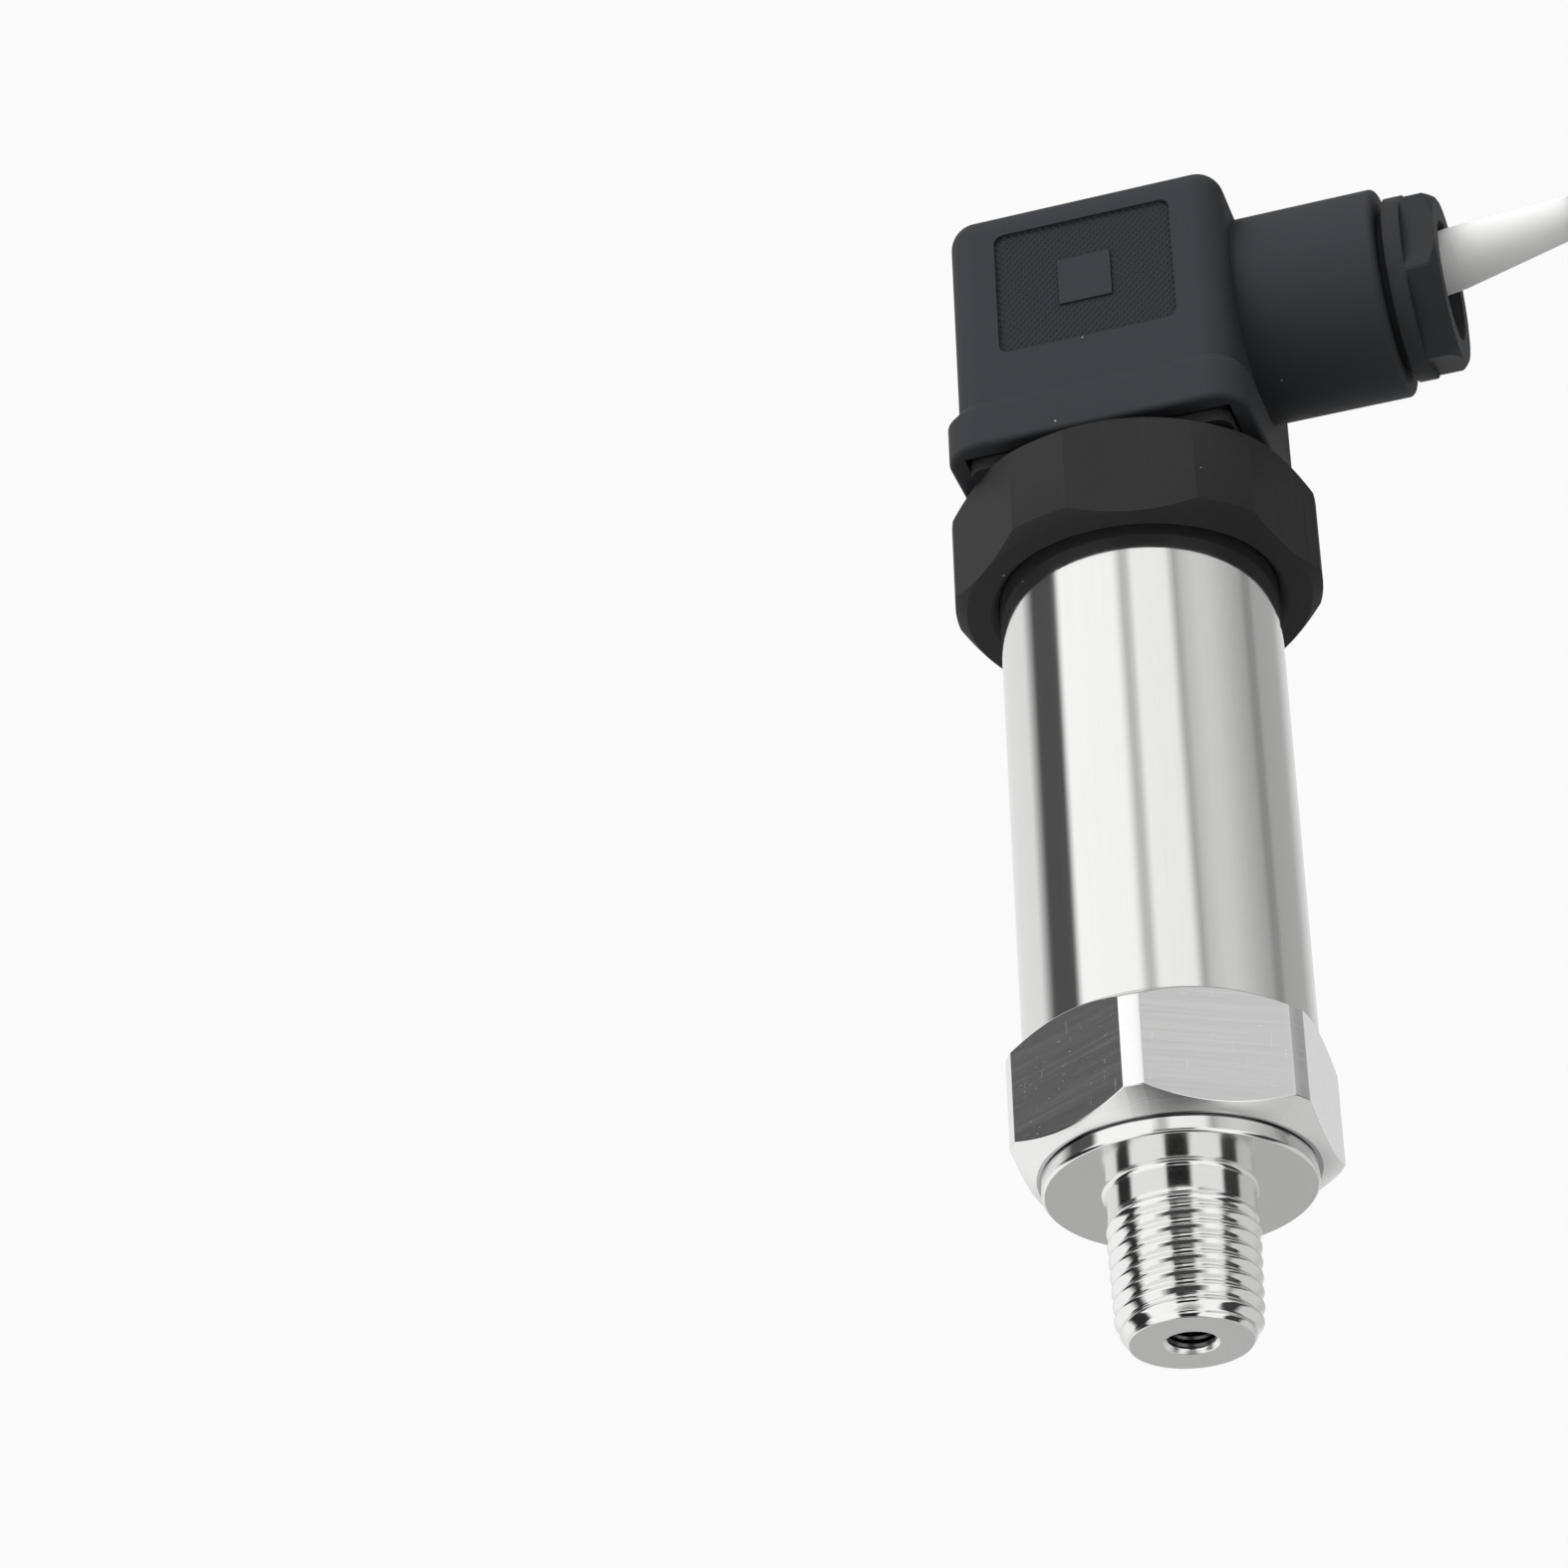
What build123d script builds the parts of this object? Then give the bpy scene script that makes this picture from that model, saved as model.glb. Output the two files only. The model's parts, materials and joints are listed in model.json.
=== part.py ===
"""Pressure transmitter with a tapered process thread, a steel body and an angled plug with its cable.

Millimetres. The origin is the centre of the flange face above the thread, +Z runs up the body to the
plug, +X points along the cable gland and -Y is the side with the label panel.
"""
import os
from math import cos, pi, radians, sin, sqrt, tan

from build123d import *

os.makedirs("parts", exist_ok=True)

# Clearances
fit_gap = 0.05
slip_gap = 0.1

# Process thread, a tapered quarter inch pipe thread
thread_pitch = 1.411
thread_taper = 1 / 32
thread_end_z = -14.3
thread_end_r = 5.45
thread_first_z = -12.45
thread_first_r = 6.53
thread_depth = 0.7
thread_flat = 0.08
thread_turns = 7
neck_r = 6.6
neck_fillet = 0.35
port_r = 1.95
port_mouth_r = 2.45

# Flange and spanner hexagon
flange_r = 12.25
flange_t = 1.5
flange_edge = 0.25
groove_r = 11.7
groove_t = 0.35
hex_af = 27.0
hex_corner_cut = 0.59
hex_slope = radians(35)
hex_face_r = 12.85
hex_low_z = flange_t + groove_t
hex_l = 11.65
hex_top_z = hex_low_z + hex_l

# Sensor chamber
chamber_floor_z = 6.2
chamber_r = 9.6
capsule_l = 10.0
capsule_recess = 0.6
diaphragm_t = 0.2
diaphragm_r = 8.6
seal_w = 2.2
seal_depth = 1.3
clamp_ring_t = 3.0
clamp_ring_wall = 3.2
clamp_thread_r = 10.3
spigot_l = 6.5
spigot_top_z = hex_top_z + spigot_l

# Steel housing tube
tube_r = 13.25
tube_wall = 1.2
tube_l = 54.8
tube_top_z = hex_top_z + tube_l

# Electronics
carrier_t = 3.0
carrier_floor_t = 1.0
board_w = 17.0
board_t = 1.6
board_l = 36.0
chip_size = (6.0, 1.5, 7.0)
chip_rise = 19.0
capacitor_r = 2.0
capacitor_h = 4.2
capacitor_places = ((-4.5, 10.0), (4.5, 10.0), (0.0, 29.0))
sensor_pin_r = 0.35
sensor_pin_xs = (-4.5, -1.5, 1.5, 4.5)
lead_r = 0.6
lead_xs = (-5.0, 0.0, 5.0)

# Connector base: spanner collar, square pad and contact pins
collar_af = 32.7
collar_corner_cut = 1.46
collar_turn = -17.2
collar_lap = 6.9
collar_l = 10.4
collar_low_z = tube_top_z - collar_lap
collar_top_z = collar_low_z + collar_l
collar_slope = radians(40)
collar_mouth_r = 14.1
base_seal_t = 1.0
pad_w = 25.4
pad_t = 1.2
pad_top_z = collar_top_z + pad_t
boss_r = 4.6
boss_l = 6.8
pin_w = 6.3
pin_t = 0.8
pin_edge = 0.25
pin_circle_r = 9.0
pin_tail_l = 7.5
pin_tip_l = 10.0
earth_pin_tip_l = 11.5
insert_r = 2.4
insert_l = 6.5
gasket_t = 1.4
gasket_top_z = pad_top_z + gasket_t

# Plug housing
plug_w = 27.3
plug_h = 28.4
plug_wall = 2.0
plug_edge_r = 2.7
plug_roof_t = 4.5
skirt_w = 29.5
skirt_edge_r = 3.6
skirt_rim_r = 0.5
skirt_lap = 1.3
skirt_h = 4.2
skirt_taper = 1.5
skirt_low_z = gasket_top_z - skirt_lap
skirt_high_z = skirt_low_z + skirt_h
plug_top_z = skirt_low_z + plug_h
panel_w = 17.5
panel_h = 14.0
panel_drop = 3.5
panel_corner_r = 1.0
panel_depth = 0.45
tile_w = 5.2
tile_h = 0.3

# Cable boss and gland
gland_drop = 10.1
gland_z = plug_top_z - gland_drop
boss_out_r = 10.2
boss_out_x = 27.35
boss_edge_r = 0.6
gland_thread_r = 7.6
gland_seat_x = 15.5
passage_r = 5.2
grommet_end_x = 19.4
grommet_edge = 0.6
washer_t = 1.0
washer_hole_r = 4.8
nut_gap = 0.75
nut_collar_r = 9.0
nut_collar_t = 1.7
nut_af = 16.0
nut_corner_cut = 0.09
nut_hex_t = 3.1
nut_turn = -5.5
nut_face_r = 8.1
nut_slope = radians(40)
nut_hole_r = 5.9

# Terminal block and its contacts
block_w = 22.6
block_h = 10.6
block_top_z = gasket_top_z + block_h
contact_w = 7.4
contact_t = 3.0
contact_rise = 1.0
contact_low_z = gasket_top_z + contact_rise
contact_top_z = block_top_z + contact_rise
terminal_screw_r = 1.5
terminal_head_h = 1.6
terminal_offset = 1.9

# Fixing screw through the plug
screw_r = 1.5
screw_tip_gap = 1.0
screw_head_r = 2.75
screw_head_h = 2.4
screw_slot_w = 0.8
screw_slot_depth = 1.3
screw_seal_t = 1.2
screw_recess_r = 3.6
screw_recess_depth = 2.7

# Cable, its sleeve and its inner cores
cable_r = 2.0
cable_tail_x = 5.0
sleeve_r = 3.1
sleeve_tilt = 9.7
sleeve_straight = 13.8
sleeve_l = 26.4
core_r = 0.7
core_y = 1.0

# Put-away coil and the free end
coil_x = 80.0
coil_y = 1.0
coil_z = 50.0
coil_mid_r = 20.0
coil_layers = 2
coil_rows = 4
tie_w = 3.6
tie_t = 1.1
tie_head_w = 4.8
tie_head_l = 5.0
tie_head_h = 2.4
tail_l = 24.0
free_core_l = 14.0
ferrule_r = 0.9
ferrule_l = 8.0


def turned(outline):
    """Solid of revolution about Z from a closed outline of (radius, height) points."""
    with BuildPart() as piece:
        with BuildSketch(Plane.XZ):
            with BuildLine():
                Polyline(outline, close=True)
            make_face()
        revolve(axis=Axis.Z)
    return piece


def ring(outer_r, inner_r, low_z, high_z):
    """Plain ring or bush about Z."""
    with BuildPart() as piece:
        with BuildSketch(Plane.XY.offset(low_z)):
            Circle(outer_r)
            Circle(inner_r, mode=Mode.SUBTRACT)
        extrude(amount=high_z - low_z)
    return piece


def gland_plane(x):
    """Plane across the gland's axis, facing along the cable."""
    return Plane(origin=(x, 0, gland_z), x_dir=(0, 1, 0), z_dir=(1, 0, 0))


def hexagon(across_flats, turn=0.0):
    """Hexagon with one flat facing the local X axis, turned by an angle in degrees."""
    return RegularPolygon(across_flats / 2, 6, major_radius=False, rotation=turn + 30)


def rounded_corner_r(across_flats, cut):
    """Radius to which a hexagon's corners are turned down."""
    return across_flats / sqrt(3) - cut


def route_radii(points, share=0.45):
    """Arc radius at each inner point of a route, from its shorter run and its turn."""
    radii = []
    for before, here, after in zip(points, points[1:], points[2:]):
        run_in = Vector(*here) - Vector(*before)
        run_out = Vector(*after) - Vector(*here)
        half_turn = radians(run_in.get_angle(run_out)) / 2
        radii.append(share * min(run_in.length, run_out.length) / tan(half_turn))
    return radii


def tube_along(points, radius, name):
    """Round tube whose path is straight runs joined by tangent arcs."""
    radii = route_radii(points)
    with BuildPart() as piece:
        with BuildLine() as path:
            FilletPolyline(*points, radius=radii)
        start = Vector(*points[1]) - Vector(*points[0])
        with BuildSketch(Plane(origin=points[0], z_dir=start)):
            Circle(radius)
        sweep(path=path.line)
    length = sum(edge.length for edge in path.line.edges())
    expected = pi * radius**2 * length
    print(name, "length", round(length, 1), "radii", [round(r, 1) for r in radii],
          "volume share", round(piece.part.volume / expected, 4))
    return piece


# Process connection: thread, flange, spanner hexagon and sensor chamber in one turned piece
def thread_outline():
    """Zigzag of the thread's crests and roots, upwards along the taper."""
    points = []
    for turn in range(thread_turns):
        crest_z = thread_first_z + turn * thread_pitch
        root_z = crest_z + thread_pitch / 2
        crest_r = thread_first_r + (crest_z - thread_first_z) * thread_taper
        points.append((crest_r, crest_z - thread_flat))
        points.append((crest_r, crest_z + thread_flat))
        if turn < thread_turns - 1:
            points.append((crest_r - thread_depth, root_z - thread_flat))
            points.append((crest_r - thread_depth, root_z + thread_flat))
    return points


hex_corner_r = rounded_corner_r(hex_af, hex_corner_cut)
hex_rise = (hex_corner_r - hex_face_r) * tan(hex_slope)
thread_last_z = thread_first_z + (thread_turns - 1) * thread_pitch
spigot_r = tube_r - tube_wall - fit_gap
clamp_seat_z = chamber_floor_z + capsule_l
hex_outline = [
    (0, hex_low_z), (hex_face_r, hex_low_z), (hex_corner_r, hex_low_z + hex_rise),
    (hex_corner_r, hex_top_z - (hex_corner_r - tube_r) * tan(hex_slope)), (tube_r, hex_top_z), (0, hex_top_z),
]
stem_outline = [(0, thread_end_z), (thread_end_r, thread_end_z)] + thread_outline() + [
    (neck_r, thread_last_z + thread_pitch / 2), (neck_r, -neck_fillet), (neck_r + neck_fillet, 0),
    (flange_r - flange_edge, 0), (flange_r, flange_edge), (flange_r, flange_t),
    (groove_r, flange_t), (groove_r, hex_low_z), (0, hex_low_z),
]
bore_outline = [
    (0, thread_end_z), (port_mouth_r, thread_end_z), (port_r, thread_end_z + port_mouth_r - port_r),
    (port_r, chamber_floor_z), (chamber_r, chamber_floor_z), (chamber_r, clamp_seat_z),
    (clamp_thread_r, clamp_seat_z), (clamp_thread_r, spigot_top_z), (0, spigot_top_z),
]
with BuildPart() as process_connection:
    with BuildSketch(Plane.XY.offset(hex_low_z)):
        hexagon(hex_af)
    extrude(amount=hex_top_z - hex_low_z)
    with BuildSketch(Plane.XZ):
        with BuildLine():
            Polyline(hex_outline, close=True)
        make_face()
    revolve(axis=Axis.Z, mode=Mode.INTERSECT)
    with BuildSketch(Plane.XZ):
        with BuildLine():
            Polyline(stem_outline, close=True)
        make_face()
    revolve(axis=Axis.Z)
    with BuildSketch(Plane.XY.offset(hex_top_z)):
        Circle(spigot_r)
    extrude(amount=spigot_top_z - hex_top_z)
    with BuildSketch(Plane.XZ):
        with BuildLine():
            Polyline(bore_outline, close=True)
        make_face()
    revolve(axis=Axis.Z, mode=Mode.SUBTRACT)
process_connection.part.label = "process_connection"
export_step(process_connection.part, "parts/process_connection.step")

# Sensor capsule with its diaphragm and seal ring
capsule_r = chamber_r - fit_gap
capsule_top_z = clamp_seat_z
seal_low_z = chamber_floor_z + 3.0
seal_in_r = capsule_r - seal_depth
sensor_capsule = turned([
    (0, chamber_floor_z + capsule_recess), (diaphragm_r + fit_gap, chamber_floor_z + capsule_recess),
    (diaphragm_r + fit_gap, chamber_floor_z), (capsule_r, chamber_floor_z), (capsule_r, seal_low_z),
    (seal_in_r, seal_low_z), (seal_in_r, seal_low_z + seal_w), (capsule_r, seal_low_z + seal_w),
    (capsule_r, capsule_top_z), (0, capsule_top_z),
])
sensor_capsule.part.label = "sensor_capsule"
export_step(sensor_capsule.part, "parts/sensor_capsule.step")

diaphragm_z = chamber_floor_z + capsule_recess
with BuildPart() as sensor_diaphragm:
    with BuildSketch(Plane.XY.offset(diaphragm_z - diaphragm_t)):
        Circle(diaphragm_r)
    extrude(amount=diaphragm_t)
sensor_diaphragm.part.label = "sensor_diaphragm"
export_step(sensor_diaphragm.part, "parts/sensor_diaphragm.step")

sensor_seal = ring(chamber_r, seal_in_r, seal_low_z + fit_gap, seal_low_z + seal_w - fit_gap)
sensor_seal.part.label = "sensor_seal"
export_step(sensor_seal.part, "parts/sensor_seal.step")

clamp_ring = ring(clamp_thread_r - fit_gap, clamp_thread_r - clamp_ring_wall, capsule_top_z,
                  capsule_top_z + clamp_ring_t)
clamp_ring.part.label = "clamp_ring"
export_step(clamp_ring.part, "parts/clamp_ring.step")

# Board carrier, circuit board and what is soldered to it
carrier_r = tube_r - tube_wall - slip_gap
carrier_top_z = spigot_top_z + carrier_t
board_low_z = spigot_top_z + carrier_floor_t
board_top_z = board_low_z + board_l
sensor_pin_y = -board_t / 2 - sensor_pin_r
with BuildPart() as board_carrier:
    with BuildSketch(Plane.XY.offset(spigot_top_z)):
        Circle(carrier_r)
    extrude(amount=carrier_t)
    with BuildSketch(Plane.XY.offset(board_low_z)):
        Rectangle(board_w + 2 * fit_gap, board_t + 2 * fit_gap)
    extrude(amount=carrier_t, mode=Mode.SUBTRACT)
    with BuildSketch(Plane.XY.offset(spigot_top_z)):
        with Locations((0, sensor_pin_y)):
            SlotOverall(2 * sensor_pin_xs[-1] + 3.0, 3 * sensor_pin_r)
    extrude(amount=carrier_t, mode=Mode.SUBTRACT)
board_carrier.part.label = "board_carrier"
export_step(board_carrier.part, "parts/board_carrier.step")

with BuildPart() as circuit_board:
    with BuildSketch(Plane.XY.offset(board_low_z)):
        Rectangle(board_w, board_t)
    extrude(amount=board_l)
circuit_board.part.label = "circuit_board"
export_step(circuit_board.part, "parts/circuit_board.step")

with BuildPart() as board_chip:
    with Locations((0, -board_t / 2 - chip_size[1] / 2, board_low_z + chip_rise)):
        Box(*chip_size)
board_chip.part.label = "board_chip"
export_step(board_chip.part, "parts/board_chip.step")

with BuildPart() as board_capacitors:
    with BuildSketch(Plane.XZ.offset(-board_t / 2)):
        with Locations(*[(x, board_low_z + rise) for x, rise in capacitor_places]):
            Circle(capacitor_r)
    extrude(amount=-capacitor_h)
board_capacitors.part.label = "board_capacitors"
export_step(board_capacitors.part, "parts/board_capacitors.step")

with BuildPart() as sensor_pins:
    with BuildSketch(Plane.XY.offset(capsule_top_z)):
        with Locations(*[(x, sensor_pin_y) for x in sensor_pin_xs]):
            Circle(sensor_pin_r)
    extrude(amount=carrier_top_z + 2.0 - capsule_top_z)
sensor_pins.part.label = "sensor_pins"
export_step(sensor_pins.part, "parts/sensor_pins.step")

# Housing tube
housing_tube = ring(tube_r, tube_r - tube_wall, hex_top_z, tube_top_z)
housing_tube.part.label = "housing_tube"
export_step(housing_tube.part, "parts/housing_tube.step")

# Connector base, its seal, pins and threaded insert
base_seal_z = tube_top_z + base_seal_t
boss_low_z = collar_top_z - boss_l
insert_low_z = pad_top_z - insert_l
pin_tail_z = pad_top_z - pin_tail_l
earth_pin_tip_z = pad_top_z + earth_pin_tip_l
collar_inner_r = tube_r + fit_gap
collar_corner_r = rounded_corner_r(collar_af, collar_corner_cut)
collar_drop = (collar_corner_r - collar_af / 2) * tan(collar_slope)
flat_r = collar_af / 2
pin_places = [(pin_circle_r, 0, 90), (0, pin_circle_r, 0), (-pin_circle_r, 0, 90), (0, -pin_circle_r, 0)]
collar_outline = [
    (0, collar_low_z), (flat_r, collar_low_z), (collar_corner_r, collar_low_z + collar_drop),
    (collar_corner_r, collar_top_z - collar_drop), (flat_r, collar_top_z), (0, collar_top_z),
]
collar_hollow = [
    (0, collar_low_z), (collar_mouth_r, collar_low_z),
    (collar_inner_r, collar_low_z + collar_mouth_r - collar_inner_r), (collar_inner_r, base_seal_z),
    (boss_r, base_seal_z), (boss_r, boss_low_z), (0, boss_low_z),
]
with BuildPart() as connector_base:
    with BuildSketch(Plane.XY.offset(collar_low_z)):
        hexagon(collar_af, collar_turn)
    extrude(amount=collar_top_z - collar_low_z)
    with BuildSketch(Plane.XZ):
        with BuildLine():
            Polyline(collar_outline, close=True)
        make_face()
    revolve(axis=Axis.Z, mode=Mode.INTERSECT)
    with BuildSketch(Plane.XY.offset(collar_top_z)):
        RectangleRounded(pad_w, pad_w, 1.5)
    extrude(amount=pad_t)
    with BuildSketch(Plane.XZ):
        with BuildLine():
            Polyline(collar_hollow, close=True)
        make_face()
    revolve(axis=Axis.Z, mode=Mode.SUBTRACT)
    with BuildSketch(Plane.XY.offset(insert_low_z)):
        Circle(insert_r)
    extrude(amount=pad_top_z - insert_low_z, mode=Mode.SUBTRACT)
    with BuildSketch(Plane.XY.offset(base_seal_z)):
        for x, y, turn in pin_places:
            with Locations(Location((x, y, 0), turn)):
                Rectangle(pin_w, pin_t)
    extrude(amount=pad_top_z - base_seal_z, mode=Mode.SUBTRACT)
connector_base.part.label = "connector_base"
export_step(connector_base.part, "parts/connector_base.step")

base_seal = ring(tube_r - fit_gap, tube_r - tube_wall, tube_top_z, base_seal_z)
base_seal.part.label = "base_seal"
export_step(base_seal.part, "parts/base_seal.step")

base_insert = ring(insert_r, screw_r + fit_gap, insert_low_z, pad_top_z)
base_insert.part.label = "base_insert"
export_step(base_insert.part, "parts/base_insert.step")

for number, (x, y, turn) in enumerate(pin_places, start=1):
    is_earth = number == len(pin_places)
    tip_z = earth_pin_tip_z if is_earth else pad_top_z + pin_tip_l
    pin_name = "earth_pin" if is_earth else f"contact_pin_{number}"
    with BuildPart() as contact_pin:
        with BuildSketch(Plane.XY.offset(pin_tail_z)):
            with Locations(Location((x, y, 0), turn)):
                Rectangle(pin_w, pin_t)
        extrude(amount=tip_z - pin_tail_z)
        chamfer(contact_pin.faces().sort_by(Axis.Z)[-1].edges(), length=pin_edge)
    contact_pin.part.label = pin_name
    export_step(contact_pin.part, f"parts/{pin_name}.step")

# Leads from the board up to the contact pins
lead_ends = [(pin_circle_r, 0), (0, pin_circle_r), (-pin_circle_r, 0)]
lead_y = board_t / 2 + lead_r
for number, (start_x, (end_x, end_y)) in enumerate(zip(reversed(lead_xs), lead_ends), start=1):
    lead = tube_along([
        (start_x, lead_y, board_top_z - 4.0), (start_x, lead_y, board_top_z + 1.0),
        (end_x, end_y, pin_tail_z - 3.0), (end_x, end_y, pin_tail_z),
    ], lead_r, f"board_lead_{number}")
    lead.part.label = f"board_lead_{number}"
    export_step(lead.part, f"parts/board_lead_{number}.step")

# Flat gasket between base and plug
with BuildPart() as flat_gasket:
    with BuildSketch(Plane.XY.offset(pad_top_z)):
        RectangleRounded(pad_w, pad_w, 1.5)
        Circle(screw_r + 0.5, mode=Mode.SUBTRACT)
        for x, y, turn in pin_places:
            with Locations(Location((x, y, 0), turn)):
                Rectangle(pin_w + 2 * slip_gap, pin_t + 2 * slip_gap, mode=Mode.SUBTRACT)
    extrude(amount=gasket_t)
flat_gasket.part.label = "flat_gasket"
export_step(flat_gasket.part, "parts/flat_gasket.step")

# Plug housing with skirt, label panels, cable boss and screw recess
cavity_w = plug_w - 2 * plug_wall
seal_room_w = pad_w + 4 * slip_gap
recess_floor_z = plug_top_z - screw_recess_depth
panel_z = plug_top_z - panel_drop - panel_h / 2
with BuildPart() as plug_housing:
    with BuildSketch(Plane.XY.offset(skirt_low_z)):
        RectangleRounded(plug_w, plug_w, plug_edge_r)
    extrude(amount=plug_top_z - skirt_low_z)
    fillet(plug_housing.faces().sort_by(Axis.Z)[-1].edges(), radius=plug_edge_r - 0.05)
    with BuildSketch(Plane.XY.offset(skirt_low_z)):
        RectangleRounded(skirt_w, skirt_w, skirt_edge_r)
    extrude(amount=skirt_high_z - skirt_low_z)
    fillet(plug_housing.faces().sort_by(Axis.Z)[0].edges(), radius=skirt_rim_r)
    with BuildSketch(Plane.XY.offset(skirt_high_z)):
        RectangleRounded(skirt_w, skirt_w, skirt_edge_r)
    with BuildSketch(Plane.XY.offset(skirt_high_z + skirt_taper)):
        RectangleRounded(plug_w, plug_w, plug_edge_r)
    loft()
    with BuildSketch(gland_plane(plug_w / 2 - plug_wall / 2)):
        Circle(boss_out_r)
    extrude(amount=boss_out_x - plug_w / 2 + plug_wall / 2)
    fillet(plug_housing.faces().sort_by(Axis.X)[-1].edges(), radius=boss_edge_r)
    for side in (-1, 1):
        with BuildSketch(Plane.XZ.offset(-side * plug_w / 2)):
            with Locations((0, panel_z)):
                RectangleRounded(panel_w, panel_h, panel_corner_r)
        extrude(amount=side * panel_depth, mode=Mode.SUBTRACT)
        with BuildSketch(Plane.XZ.offset(-side * (plug_w / 2 - panel_depth))):
            with Locations((0, panel_z)):
                Rectangle(tile_w, tile_w)
        extrude(amount=-side * tile_h)
    with BuildSketch(Plane.XY.offset(skirt_low_z)):
        Rectangle(seal_room_w, seal_room_w)
    extrude(amount=gasket_top_z - skirt_low_z, mode=Mode.SUBTRACT)
    with BuildSketch(Plane.XY.offset(gasket_top_z)):
        Rectangle(cavity_w, cavity_w)
    extrude(amount=plug_top_z - plug_roof_t - gasket_top_z, mode=Mode.SUBTRACT)
    with BuildSketch(gland_plane(cavity_w / 2 - 1.0)):
        Circle(passage_r)
    extrude(amount=gland_seat_x - cavity_w / 2 + 1.0, mode=Mode.SUBTRACT)
    with BuildSketch(gland_plane(gland_seat_x)):
        Circle(gland_thread_r)
    extrude(amount=boss_out_x - gland_seat_x, mode=Mode.SUBTRACT)
    with BuildSketch(Plane.XY.offset(recess_floor_z)):
        Circle(screw_recess_r)
    extrude(amount=screw_recess_depth, mode=Mode.SUBTRACT)
    with BuildSketch(Plane.XY.offset(recess_floor_z)):
        Circle(screw_r + slip_gap)
    extrude(amount=-plug_roof_t, mode=Mode.SUBTRACT)
plug_housing.part.label = "plug_housing"
export_step(plug_housing.part, "parts/plug_housing.step")

# Terminal block, socket contacts and terminal screws
contact_slot_w = contact_w + 2 * slip_gap
contact_slot_t = contact_t + 2 * slip_gap
terminal_places = [
    (x + terminal_offset * (y != 0), y + terminal_offset * (x != 0)) for x, y, turn in pin_places
]
with BuildPart() as terminal_block:
    with BuildSketch(Plane.XY.offset(gasket_top_z)):
        RectangleRounded(block_w, block_w, 1.0)
        Circle(screw_r + 2 * slip_gap, mode=Mode.SUBTRACT)
    extrude(amount=block_top_z - gasket_top_z)
    with BuildSketch(Plane.XY.offset(contact_low_z)):
        for x, y, turn in pin_places:
            with Locations(Location((x, y, 0), turn)):
                Rectangle(contact_slot_w, contact_slot_t)
    extrude(amount=block_top_z - contact_low_z, mode=Mode.SUBTRACT)
    with BuildSketch(Plane.XY.offset(gasket_top_z)):
        for x, y, turn in pin_places:
            with Locations(Location((x, y, 0), turn)):
                Rectangle(pin_w + 2 * slip_gap, pin_t + 2 * slip_gap)
    extrude(amount=contact_low_z - gasket_top_z, mode=Mode.SUBTRACT)
terminal_block.part.label = "terminal_block"
export_step(terminal_block.part, "parts/terminal_block.step")

contact_names = ["socket_contact_1", "socket_contact_2", "socket_contact_3", "earth_contact"]
for contact_name, (x, y, turn), place in zip(contact_names, pin_places, terminal_places):
    with BuildPart() as socket_contact:
        with BuildSketch(Plane.XY.offset(contact_low_z)):
            with Locations(Location((x, y, 0), turn)):
                Rectangle(contact_w, contact_t)
        extrude(amount=contact_top_z - contact_low_z)
        with BuildSketch(Plane.XY.offset(contact_low_z)):
            with Locations(Location((x, y, 0), turn)):
                Rectangle(pin_w + 2 * fit_gap, pin_t + 2 * fit_gap)
        extrude(amount=earth_pin_tip_z + fit_gap - contact_low_z, mode=Mode.SUBTRACT)
    socket_contact.part.label = contact_name
    export_step(socket_contact.part, f"parts/{contact_name}.step")

with BuildPart() as terminal_screws:
    with BuildSketch(Plane.XY.offset(contact_top_z)):
        with Locations(*terminal_places):
            Circle(terminal_screw_r)
    extrude(amount=terminal_head_h)
terminal_screws.part.label = "terminal_screws"
export_step(terminal_screws.part, "parts/terminal_screws.step")

# Fixing screw and its seal ring
screw_seal_top_z = recess_floor_z + screw_seal_t
screw_tip_z = insert_low_z + screw_tip_gap
head_top_z = screw_seal_top_z + screw_head_h
with BuildPart() as fixing_screw:
    with BuildSketch(Plane.XY.offset(screw_tip_z)):
        Circle(screw_r)
    extrude(amount=screw_seal_top_z - screw_tip_z)
    with BuildSketch(Plane.XY.offset(screw_seal_top_z)):
        Circle(screw_head_r)
    extrude(amount=screw_head_h)
    chamfer(fixing_screw.faces().sort_by(Axis.Z)[-1].edges(), length=0.3)
    with BuildSketch(Plane.XY.offset(head_top_z - screw_slot_depth)):
        Rectangle(3 * screw_head_r, screw_slot_w)
    extrude(amount=screw_slot_depth, mode=Mode.SUBTRACT)
fixing_screw.part.label = "fixing_screw"
export_step(fixing_screw.part, "parts/fixing_screw.step")

screw_seal = ring(screw_head_r + 0.3, screw_r + fit_gap, recess_floor_z, screw_seal_top_z)
screw_seal.part.label = "screw_seal"
export_step(screw_seal.part, "parts/screw_seal.step")

# Gland: grommet, thrust washer and nut
with BuildPart() as gland_grommet:
    with BuildSketch(gland_plane(gland_seat_x)):
        Circle(gland_thread_r - fit_gap)
        Circle(cable_r, mode=Mode.SUBTRACT)
    extrude(amount=grommet_end_x - gland_seat_x)
    chamfer(gland_grommet.faces().sort_by(Axis.X)[0].edges().group_by(SortBy.LENGTH)[-1], length=grommet_edge)
gland_grommet.part.label = "gland_grommet"
export_step(gland_grommet.part, "parts/gland_grommet.step")

washer_end_x = grommet_end_x + washer_t
with BuildPart() as gland_washer:
    with BuildSketch(gland_plane(grommet_end_x)):
        Circle(gland_thread_r - fit_gap)
        Circle(washer_hole_r, mode=Mode.SUBTRACT)
    extrude(amount=washer_t)
gland_washer.part.label = "gland_washer"
export_step(gland_washer.part, "parts/gland_washer.step")

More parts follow.
